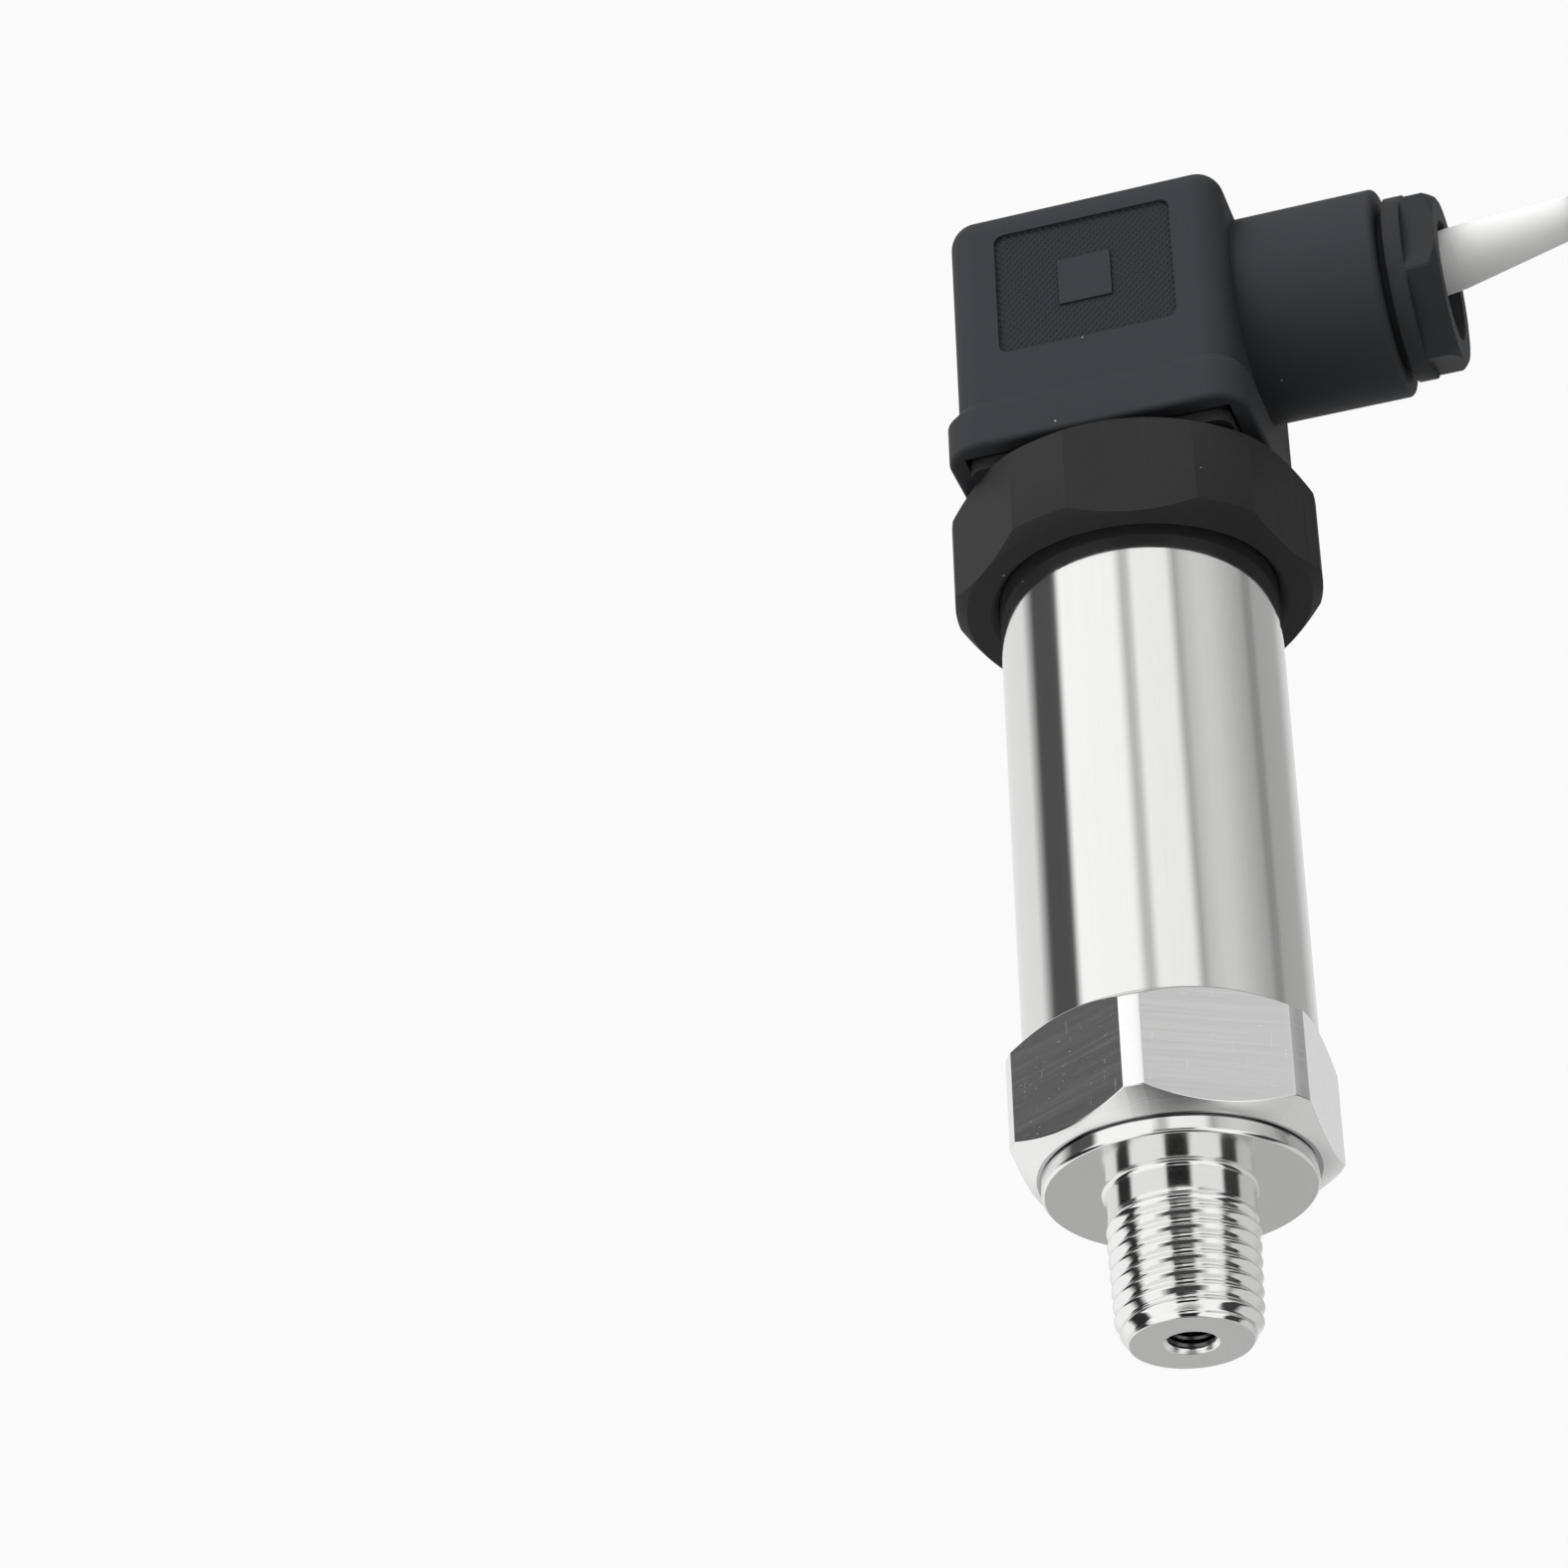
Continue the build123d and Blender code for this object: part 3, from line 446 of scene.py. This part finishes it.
class TRANSMITTER_OT_cable(bpy.types.Operator):
    """Lay the cable from its sleeve, over and down, into the tied coil and its free end"""

    bl_idname = "transmitter.cable"
    bl_label = "Cable"

    def execute(self, context):
        sizes = context.scene.transmitter_sizes
        thick = sizes.cable_diameter
        coil = coil_points(thick, sizes.turn_points)
        end_x = COIL_CENTRE.x + COIL_MID_RADIUS + thick / 2
        end_y = COIL_CENTRE.y - thick * (COIL_TURNS // 2 - 1) / 2
        tail = [(end_x, end_y - thick * aside, COIL_CENTRE.z - CABLE_TAIL * share)
                for aside, share in TAIL_SHAPE]
        points = [Vector(p) * MM for p in CABLE_ROUTE] + [Vector(p) for p in coil + tail]
        curve = bpy.data.curves.new("cable_line", "CURVE")
        curve.dimensions = "3D"
        curve.resolution_u = 6
        curve.bevel_depth = 1.0
        curve.bevel_resolution = 5
        curve.use_fill_caps = True
        spline = curve.splines.new("NURBS")
        spline.points.add(len(points) - 1)
        for slot, point in zip(spline.points, points):
            slot.co = (*point, 1.0)
            slot.radius = thick / 2
        spline.order_u = 3
        spline.use_endpoint_u = True
        cable = link_piece("white_cable", curve)
        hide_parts("cable", "cable_coil", "cable_end")
        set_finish(cable, "cable_white")
        return {"FINISHED"}


# Process connection: thread, flange, spanner hexagon, sensor chamber and port, turned from one bar.
# Its sizes are in millimetres.
THREAD_END_Z = -14.3
THREAD_END_R = 5.45
THREAD_FIRST_Z = -12.45
THREAD_FIRST_R = 6.53
THREAD_LAST_Z = -3.98
THREAD_TAPER = 1 / 32
THREAD_START_SHARE = 0.75
THREAD_RUN_OUT = 1.3
ROOT_FLAT = 0.06
FLANK_SHARE = 0.86
NOSE_SLOPE = 0.72
NOSE_ROUNDING = 0.5
MOUTH_EDGE = 0.12
NECK_R = 6.6
NECK_FILLET = 0.55
FLANGE_R = 12.25
FLANGE_TOP_Z = 1.5
FLANGE_CHAMFER = 0.25
GROOVE_R = 11.9
HEX_HALF = 13.5
HEX_CORNER_R = 15.1
HEX_FACE_R = 12.6
HEX_LOW_Z = 1.675
HEX_TOP_Z = 13.5
HEX_SLOPE = radians(35)
TUBE_R = 13.25
PORT_R = 1.95
PORT_MOUTH_R = 2.45
PORT_RIDGE = 0.18
PORT_THREAD_TOP_Z = -9.0
STEM_ROWS_PER_PITCH = 20
PORT_ROWS_PER_PITCH = 8
FLAT_COLUMNS = 24
CORNER_COLUMNS = 4
COLUMN_GAP = 0.24
CORNER_ROUNDING = 0.03
EDGE = 0.09
BORE_OUTLINE = [
    (PORT_R, 6.2), (9.6, 6.2), (9.6, 16.2), (10.3, 16.2), (10.3, 20.0), (12.0, 20.0), (12.0, HEX_TOP_Z),
    (TUBE_R, HEX_TOP_Z),
]
FLANGE_OUTLINE = [
    (HEX_FACE_R, HEX_LOW_Z), (GROOVE_R, HEX_LOW_Z), (GROOVE_R, FLANGE_TOP_Z), (FLANGE_R, FLANGE_TOP_Z),
    (FLANGE_R, FLANGE_CHAMFER), (FLANGE_R - FLANGE_CHAMFER, 0.0), (NECK_R + NECK_FILLET, 0.0),
]
# Its materials, in the order of their slots, and the rows of faces that take them. The port's bore and
# the groove take steel darkened as painted shade, the end face steel lightened as painted light.
TURNED, MILLED, FACED, PAINTED_SHADE_BORE, CHAMFERED, PAINTED_LIGHT_END_FACE, PAINTED_SHADE_GROOVE = range(7)
HEX_KINDS = [CHAMFERED, TURNED, TURNED, TURNED, MILLED, TURNED, TURNED, TURNED, CHAMFERED, PAINTED_SHADE_GROOVE]
GROOVE_ROWS = 11
CHAMFER_ROWS = 5


def smooth(value):
    """Ease from 0 to 1 between its own limits."""
    held = min(1.0, max(0.0, value))
    return held * held * (3 - 2 * held)


def thread_form(phase):
    """Height of a thread across one pitch, from 0 in its root to 1 on its narrow crest."""
    ramp = 1 - abs((phase % 1.0) * 2 - 1)
    return min(1.0, max(0.0, (ramp - ROOT_FLAT) / FLANK_SHARE))


def stem_radius(z, turn, pitch, depth):
    """Outer radius of the stem in millimetres at a height and a share of a turn."""
    crest = THREAD_FIRST_R + (z - THREAD_FIRST_Z) * THREAD_TAPER
    fade = smooth((z - THREAD_LAST_Z) / THREAD_RUN_OUT)
    phase = (z - THREAD_FIRST_Z) / pitch - turn + THREAD_START_SHARE
    root = crest - depth * (1 - thread_form(phase))
    radius = root + (NECK_R - root) * fade
    if z > -NECK_FILLET:
        radius = NECK_R + NECK_FILLET - (NECK_FILLET ** 2 - (z + NECK_FILLET) ** 2) ** 0.5
    nose = THREAD_END_R + (z - THREAD_END_Z) * NOSE_SLOPE
    rounding = max(0.0, NOSE_ROUNDING - abs(radius - nose)) ** 2 / (4 * NOSE_ROUNDING)
    return min(radius, nose) - rounding * (z < THREAD_FIRST_Z + 1)


def side_radius(angle_deg):
    """Radius of the hexagon's side, flat or rounded corner, in a direction."""
    off = (angle_deg + 30) % 60 - 30
    flat = HEX_HALF / cos(radians(off))
    rounding = max(0.0, CORNER_ROUNDING - abs(flat - HEX_CORNER_R)) ** 2 / (4 * CORNER_ROUNDING)
    return min(flat, HEX_CORNER_R) - rounding


def softened(outline, reach=EDGE, shares=(0.0, 0.33, 0.67, 1.0)):
    """Points along an outline of (radius, height) corners with each inner corner rounded a little."""
    corners = [Vector(corner) for corner in outline]
    made = [corners[0]]
    for before, here, after in zip(corners, corners[1:], corners[2:]):
        back, onward = before - here, after - here
        start = here + back.normalized() * min(reach, back.length * 0.45)
        stop = here + onward.normalized() * min(reach, onward.length * 0.45)
        made += [start.lerp(here, share).lerp(here.lerp(stop, share), share) for share in shares]
    return made + [corners[-1]]


def hexagon_columns():
    """Angles of the columns in degrees, close together where flat and corner meet."""
    edge = degrees(acos(HEX_HALF / HEX_CORNER_R))
    before, after = edge - COLUMN_GAP, edge + COLUMN_GAP
    flat = [-before + 2 * before * step / FLAT_COLUMNS for step in range(FLAT_COLUMNS + 1)]
    corner = [after + 2 * (30 - after) * step / CORNER_COLUMNS for step in range(CORNER_COLUMNS + 1)]
    sector = flat + [edge] + corner + [60 - edge]
    return [60 * turn + angle for turn in range(6) for angle in sector]


class TRANSMITTER_OT_process_connection(bpy.types.Operator):
    """Turn the process connection, with a true helix for its thread and softly broken edges"""

    bl_idname = "transmitter.process_connection"
    bl_label = "Process connection"

    def execute(self, context):
        sizes = context.scene.transmitter_sizes
        pitch, depth = sizes.thread_pitch / MM, sizes.thread_depth / MM
        columns = hexagon_columns()
        rows = round((0 - THREAD_END_Z) / pitch * STEM_ROWS_PER_PITCH)
        stem_heights = [THREAD_END_Z * row / rows for row in range(1, rows + 1)]
        port_pitch = sizes.port_thread_pitch / MM
        port_height = PORT_THREAD_TOP_Z - THREAD_END_Z
        port_rows = round(port_height / port_pitch * PORT_ROWS_PER_PITCH)
        port_heights = [THREAD_END_Z + port_height * row / port_rows for row in range(port_rows + 1)]
        bore = softened(BORE_OUTLINE)[:-1]
        flange = softened(FLANGE_OUTLINE)[1:]
        points, marks = [], []
        for angle in columns:
            side, turn = side_radius(angle), angle / 360
            high_z = HEX_TOP_Z - (side - TUBE_R) * tan(HEX_SLOPE)
            low_z = HEX_LOW_Z + (side - HEX_FACE_R) * tan(HEX_SLOPE)
            hexagon = softened([(TUBE_R, HEX_TOP_Z), (side, high_z), (side, low_z),
                                (HEX_FACE_R, HEX_LOW_Z)])
            stem = [(stem_radius(z, turn, pitch, depth), z) for z in stem_heights]
            rim_r = stem[-1][0]
            face = [(rim_r - MOUTH_EDGE, THREAD_END_Z), (PORT_MOUTH_R + MOUTH_EDGE, THREAD_END_Z)]
            port = []
            for z in port_heights:
                ridge = PORT_RIDGE * (1 - thread_form(z / port_pitch - turn))
                port.append((max(PORT_MOUTH_R - (z - THREAD_END_Z), PORT_R + ridge), z))
            parts = (bore, hexagon, flange, stem, face, port)
            points += [(r * cos(radians(angle)) * MM, r * sin(radians(angle)) * MM, z * MM)
                       for part in parts for r, z in part]
            marks = [len(part) for part in parts]
        count = sum(marks)
        row_kinds = [TURNED] * marks[0] + HEX_KINDS + [PAINTED_SHADE_GROOVE] * GROOVE_ROWS
        row_kinds += [TURNED] * (marks[2] - GROOVE_ROWS - 2) + [FACED] + [TURNED] * marks[3]
        row_kinds += [PAINTED_LIGHT_END_FACE] * (marks[4] + CHAMFER_ROWS + 1) + [PAINTED_SHADE_BORE] * (marks[5] - CHAMFER_ROWS)
        faces, kinds = [], []
        for column in range(len(columns)):
            here, after = column * count, (column + 1) % len(columns) * count
            for row in range(count):
                below = (row + 1) % count
                faces.append((here + row, here + below, after + below, after + row))
            kinds += row_kinds
        mesh = mesh_from("process_connection_turned", points, faces, 75.0)
        mesh.polygons.foreach_set("material_index", kinds)
        stem = link_piece("turned_connection", mesh)
        weighted = stem.modifiers.new("Even shading", "WEIGHTED_NORMAL")
        weighted.weight = 60
        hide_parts("process_connection")
        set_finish(stem, "turned_steel")
        return {"FINISHED"}


# Knurled label panels
PLUG_HALF = 13.65 * MM
PANEL_HALF_W = 8.75 * MM
PANEL_HALF_H = 7.0 * MM
PANEL_Z = 91.0 * MM
PANEL_DEPTH = 0.45 * MM
TILE_HALF = 2.6 * MM
KNURL_BASE = 0.05 * MM


def knurl_mesh(name, side, step, height):
    """Pyramids over a panel's floor around its raised tile, closed underneath; side is -1 or 1 in Y."""
    wide, high, tile = (round(half / step) for half in (PANEL_HALF_W, PANEL_HALF_H, TILE_HALF))
    floor_y = PLUG_HALF - PANEL_DEPTH
    spots = [(i, j) for i in range(-wide, wide + 1) for j in range(-high, high + 1)
             if max(abs(i), abs(j)) >= tile]
    number = {spot: index for index, spot in enumerate(spots)}
    top = [(i * step, side * (floor_y + (height if (i + j) % 2 == 0 else 0.0)), PANEL_Z + j * step)
           for i, j in spots]
    base = [(x, side * (floor_y - KNURL_BASE), z) for x, _, z in top]
    slopes = []
    for i in range(-wide, wide):
        for j in range(-high, high):
            if -tile <= i < tile and -tile <= j < tile:
                continue
            a, b, c, d = number[i, j], number[i + 1, j], number[i + 1, j + 1], number[i, j + 1]
            halves = ((a, b, d), (b, c, d)) if (i + j) % 2 == 0 else ((a, b, c), (a, c, d))
            slopes += [corners[::-side] for corners in halves]
    under = [tuple(corner + len(top) for corner in reversed(corners)) for corners in slopes]
    edges = [pair for corners in slopes for pair in zip(corners, corners[1:] + corners[:1])]
    inner = set(edges)
    walls = [(q, p, p + len(top), q + len(top)) for p, q in edges if (q, p) not in inner]
    mesh = bpy.data.meshes.new(name)
    mesh.from_pydata(top + base, [], slopes + under + walls)
    return mesh


class TRANSMITTER_OT_panels(bpy.types.Operator):
    """Cover the floors of both label panels with a diamond knurl around the raised tile"""

    bl_idname = "transmitter.panels"
    bl_label = "Knurled panels"

    def execute(self, context):
        sizes = context.scene.transmitter_sizes
        for name, side in (("front_knurl", -1), ("back_knurl", 1)):
            piece = link_piece(name, knurl_mesh(name, side, sizes.knurl_pitch / 2, sizes.knurl_height))
            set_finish(piece, "plug_plastic")
        return {"FINISHED"}


# Broken edges of the mouldings
EDGE_WIDTHS = {"connector_base": 0.25 * MM, "gland_nut": 0.3 * MM}


class TRANSMITTER_OT_edges(bpy.types.Operator):
    """Round the sharp edges of the collar and the gland nut"""

    bl_idname = "transmitter.edges"
    bl_label = "Moulded edges"

    def execute(self, context):
        for node, width in EDGE_WIDTHS.items():
            soften_edges(node, width)
        return {"FINISHED"}


# Finishes
class TRANSMITTER_OT_finishes(bpy.types.Operator):
    """Build every material and give each piece its own"""

    bl_idname = "transmitter.finishes"
    bl_label = "Finishes"

    def execute(self, context):
        colours = context.scene.transmitter_colours
        steel = tuple(colours.steel)
        finishes = {
            "turned_steel": turned_metal("turned steel", steel, 0.09, depth=0.0008 * MM),
            "tube_steel": streaked_steel("polished tube", steel, 0.09, (5000.0, 5000.0, 60.0)),
            "collar_plastic": moulded_plastic("collar moulding", tuple(colours.collar), 0.58),
            "plug_plastic": moulded_plastic("plug moulding", tuple(colours.plug), 0.62),
            "nut_plastic": moulded_plastic("nut moulding", tuple(colours.nut), 0.6),
            "block_plastic": moulded_plastic("block moulding", (0.06, 0.06, 0.065), 0.5),
            "carrier_plastic": moulded_plastic("carrier moulding", (0.55, 0.54, 0.5), 0.5),
            "seal_rubber": moulded_plastic("seal rubber", tuple(colours.rubber), 0.6, specks=0.0),
            "contact_metal": streaked_steel("tinned contacts", (0.78, 0.77, 0.72), 0.25,
                                            (400.0, 400.0, 4000.0)),
            "insert_brass": turned_metal("turned brass", (0.75, 0.56, 0.25), 0.25),
            "screw_steel": turned_metal("screw steel", (0.6, 0.6, 0.6), 0.28),
            "board_green": moulded_plastic("solder mask", (0.01, 0.12, 0.04), 0.35, specks=0.0,
                                           gloss=0.5),
            "chip_black": moulded_plastic("chip case", (0.02, 0.02, 0.022), 0.5, specks=0.0),
            "capacitor_case": turned_metal("capacitor case", (0.6, 0.6, 0.62), 0.35),
            "cable_white": moulded_plastic("cable jacket", tuple(colours.cable), 0.5, 1500.0, specks=0.02,
                                           contrast=0.02, soft=0.8),
            "tie_black": moulded_plastic("tie nylon", (0.02, 0.02, 0.02), 0.4, specks=0.0),
            "core_red": moulded_plastic("red core", (0.5, 0.02, 0.015), 0.4, specks=0.0),
            "core_black": moulded_plastic("black core", (0.02, 0.02, 0.02), 0.4, specks=0.0),
        }
        for part in frame["record"]["subparts"]:
            paint(frame["nodes"][part["node"]], finishes[part["material_slot"]])
        for name in ("white_cable", "front_knurl", "back_knurl"):
            piece = bpy.data.objects[name]
            paint(piece, finishes[piece["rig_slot"]])
        connection = {
            TURNED: finishes["turned_steel"],
            MILLED: streaked_steel("milled flats", (0.92, 0.92, 0.91), 0.2, (60.0, 60.0, 3500.0),
                                   contrast=0.11, swing=0.06, scratches=0.3),
            FACED: turned_metal("faced steel", steel, 0.13, 5000.0),
            # The bore's steel is dark as painted shade inside the port; its rougher finish is its own.
            PAINTED_SHADE_BORE: turned_metal("bore steel painted dark", (0.12, 0.12, 0.12), 0.3),
            CHAMFERED: turned_metal("chamfered steel", steel, 0.26, 3000.0, swing=0.04),
            # The end face's steel is lighter than the rest as painted light; its rougher faced finish is
            # its own.
            PAINTED_LIGHT_END_FACE: turned_metal("end face steel painted light", (0.86, 0.86, 0.85), 0.26, 5000.0, swing=0.05),
            # The groove's steel is darker than the rest as painted shade between flange and hexagon.
            PAINTED_SHADE_GROOVE: turned_metal("groove steel painted dark", (0.42, 0.42, 0.42), 0.15),
        }
        slots = bpy.data.objects["turned_connection"].data.materials
        for kind in sorted(connection):
            slots.append(connection[kind])
        for name in ("white_cable", "cable_tie", "free_core_1", "free_core_2", "core_ferrules"):
            bpy.data.objects[name].visible_glossy = False
        return {"FINISHED"}


# Studio
# Angle round the part from the camera, in degrees, and brightness of the surroundings there
BANDS_ABOVE = [
    (-180, 0.85), (-113, 0.85), (-98, 0.085), (-74, 0.085), (-68, 1.13), (-20, 1.1), (-13, 0.55),
    (-9, 0.6), (-4, 1.03), (23, 1.0), (30, 0.42), (36, 0.62), (48, 0.72), (58, 0.70), (75, 0.55),
    (90, 0.42), (95, 0.30), (101, 0.30), (105, 0.42), (135, 0.45), (150, 0.68), (180, 0.85),
]
BANDS_BELOW = [
    (-180, 0.48), (-168, 0.5), (-156, 1.05), (-116, 1.05), (-108, 0.03), (-84, 0.03), (-78, 1.13),
    (-23, 1.13), (-17, 0.02), (14, 0.02), (20, 1.1), (66, 1.1), (72, 0.05), (97, 0.05), (106, 0.7),
    (140, 0.7), (158, 0.48), (180, 0.48),
]
BANDS_LOW = [
    (-180, 0.30), (-155, 0.35), (-130, 1.1), (82, 1.1), (125, 0.5), (150, 0.35), (180, 0.30),
]
SOFT_LIGHT = [
    (-180, 0.7), (-100, 1.0), (-40, 1.3), (0, 1.25), (40, 0.7), (70, 0.4), (110, 0.4), (180, 0.7),
]
# Heights of a direction between which one set of bands passes into the next
HORIZON = (-0.25, 0.1)
LOW = (-0.82, -0.766)
TOP = (0.66, 0.9)
TOP_LEVEL = 0.4
# A dark patch straight below, with the angles at which it starts and is full
DARK_CORE = (0.045, -0.195, -0.98)
CORE_ANGLES = (23, 13)
CORE_LEVEL = 0.06
# The turn that puts the bands' zero at the camera's side
CAMERA_SIDE = 77
KEY_PLACE = (-0.35, -0.65, 0.65)
KEY_AIM = (0.0, 0.0, 0.06)
KEY_WIDTH = 0.5
KEY_POWER = 4.0
FLOOR_REACH = 40
FLOOR_GLOW = 0.26


def band_ramp(tree, around, stops):
    """A colour ramp round the horizon, from angle and brightness pairs."""
    ramp = add_node(tree, "ShaderNodeValToRGB", {"Fac": around})
    elements = ramp.color_ramp.elements
    while len(elements) < len(stops):
        elements.new(0.5)
    for element, (angle, level) in zip(elements, stops):
        element.position = angle / 360 + 0.5
        element.color = (level, level, level, 1.0)
    return ramp.outputs["Color"]


class TRANSMITTER_OT_studio(bpy.types.Operator):
    """Set up the floor, the plain background, the surroundings and the key light"""

    bl_idname = "transmitter.studio"
    bl_label = "Studio"

    def execute(self, context):
        studio = context.scene.transmitter_studio
        world = bpy.data.worlds.new("Studio")
        context.scene.world = world
        world.use_nodes = True
        tree = world.node_tree
        tree.nodes.clear()
        place = add_node(tree, "ShaderNodeTexCoord").outputs["Generated"]
        turned = add_node(tree, "ShaderNodeMapping", {"Vector": place,
                                                      "Rotation": (0, 0, radians(CAMERA_SIDE))})
        around = add_node(tree, "ShaderNodeTexGradient", {"Vector": turned.outputs[0]},
                          gradient_type="RADIAL")
        above = band_ramp(tree, around.outputs["Fac"], BANDS_ABOVE)
        below = band_ramp(tree, around.outputs["Fac"], BANDS_BELOW)
        low = band_ramp(tree, around.outputs["Fac"], BANDS_LOW)
        height = add_node(tree, "ShaderNodeSeparateXYZ", {"Vector": place}).outputs["Z"]
        bands = mix_colour(tree, ranged(tree, height, *HORIZON, 0.0, 1.0), below, above)
        bands = mix_colour(tree, ranged(tree, height, *LOW, 0.0, 1.0), low, bands)
        bands = mix_colour(tree, ranged(tree, height, *TOP, 0.0, 1.0), bands, (TOP_LEVEL,) * 3)
        near = add_node(tree, "ShaderNodeVectorMath", {0: place, 1: DARK_CORE}, operation="DOT_PRODUCT")
        starts, full = (cos(radians(angle)) for angle in CORE_ANGLES)
        core = ranged(tree, near.outputs["Value"], starts, full, 0.0, 1.0)
        bands = mix_colour(tree, core, bands, (CORE_LEVEL,) * 3)
        side_light = band_ramp(tree, around.outputs["Fac"], SOFT_LIGHT)
        level = ranged(tree, height, -0.7, 0.7, 0.5, 1.05)
        soft_light = mix_colour(tree, level, (0.0,) * 3, side_light)
        rays = add_node(tree, "ShaderNodeLightPath").outputs
        lit = mix_colour(tree, rays["Is Glossy Ray"], soft_light, bands)
        colour = mix_colour(tree, rays["Is Camera Ray"], lit, (studio.backdrop,) * 3)
        light = add_node(tree, "ShaderNodeBackground", {"Color": colour, "Strength": 1.0})
        add_node(tree, "ShaderNodeOutputWorld", {"Surface": light.outputs[0]})

        lamp = bpy.data.lights.new("Key light", "AREA")
        lamp.shape = "RECTANGLE"
        lamp.size = KEY_WIDTH
        lamp.size_y = KEY_WIDTH
        lamp.energy = KEY_POWER
        key = bpy.data.objects.new("Key light", lamp)
        key.location = KEY_PLACE
        key.rotation_euler = (Vector(KEY_AIM) - key.location).to_track_quat("-Z", "Y").to_euler()
        key.visible_glossy = False
        context.scene.collection.objects.link(key)

        corners = [(x * FLOOR_REACH, y * FLOOR_REACH, studio.floor_height)
                   for x, y in ((-1, -1), (1, -1), (1, 1), (-1, 1))]
        floor = bpy.data.objects.new("floor", mesh_from("floor", corners, [(0, 1, 2, 3)]))
        context.scene.collection.objects.link(floor)
        floor.visible_glossy = False
        floor.visible_diffuse = False
        made, tree, shader, place = new_material("Floor paper", Roughness=0.8, Emission_Strength=1.0)
        seen = add_node(tree, "ShaderNodeLightPath").outputs["Is Camera Ray"]
        glow = mix_colour(tree, seen, (0.0,) * 3, (FLOOR_GLOW,) * 3)
        tree.links.new(glow, shader.inputs["Emission Color"])
        paper = noise(tree, place, 40.0, 3.0)
        tree.links.new(mix_colour(tree, paper, (0.86,) * 3, (0.88,) * 3), shader.inputs["Base Color"])
        paint(floor, made)
        view = context.scene.view_settings
        view.view_transform = "Standard"
        return {"FINISHED"}


OPERATORS = (
    TRANSMITTER_OT_camera,
    TRANSMITTER_OT_cable,
    TRANSMITTER_OT_process_connection,
    TRANSMITTER_OT_panels,
    TRANSMITTER_OT_edges,
    TRANSMITTER_OT_finishes,
    TRANSMITTER_OT_studio,
)


class TRANSMITTER_PT_panel(bpy.types.Panel):
    """The transmitter's operators and settings in the 3D view's sidebar"""

    bl_idname = "TRANSMITTER_PT_panel"
    bl_label = "Pressure transmitter"
    bl_space_type = "VIEW_3D"
    bl_region_type = "UI"
    bl_category = "Transmitter"

    def draw(self, context):
        for operator in OPERATORS:
            self.layout.operator(operator.bl_idname)
        for group in ("transmitter_sizes", "transmitter_colours", "transmitter_studio"):
            settings = getattr(context.scene, group)
            column = self.layout.column(align=True)
            for name in settings.__annotations__:
                column.prop(settings, name)


GROUPS = {
    "transmitter_sizes": TransmitterSizes,
    "transmitter_colours": TransmitterColours,
    "transmitter_studio": TransmitterStudio,
}


def register():
    """Register the settings, the operators and the panel."""
    for name, group in GROUPS.items():
        bpy.utils.register_class(group)
        setattr(bpy.types.Scene, name, PointerProperty(type=group))
    for made in (*OPERATORS, TRANSMITTER_PT_panel):
        bpy.utils.register_class(made)


def unregister():
    """Undo register, last first."""
    for made in (TRANSMITTER_PT_panel, *reversed(OPERATORS)):
        bpy.utils.unregister_class(made)
    for name, group in reversed(GROUPS.items()):
        delattr(bpy.types.Scene, name)
        bpy.utils.unregister_class(group)


def main():
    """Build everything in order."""
    register()
    bpy.ops.transmitter.camera()
    bpy.ops.transmitter.cable()
    bpy.ops.transmitter.process_connection()
    bpy.ops.transmitter.panels()
    bpy.ops.transmitter.edges()
    bpy.ops.transmitter.finishes()
    bpy.ops.transmitter.studio()
    bpy.context.view_layer.update()


if __name__ == "__main__":
    main()
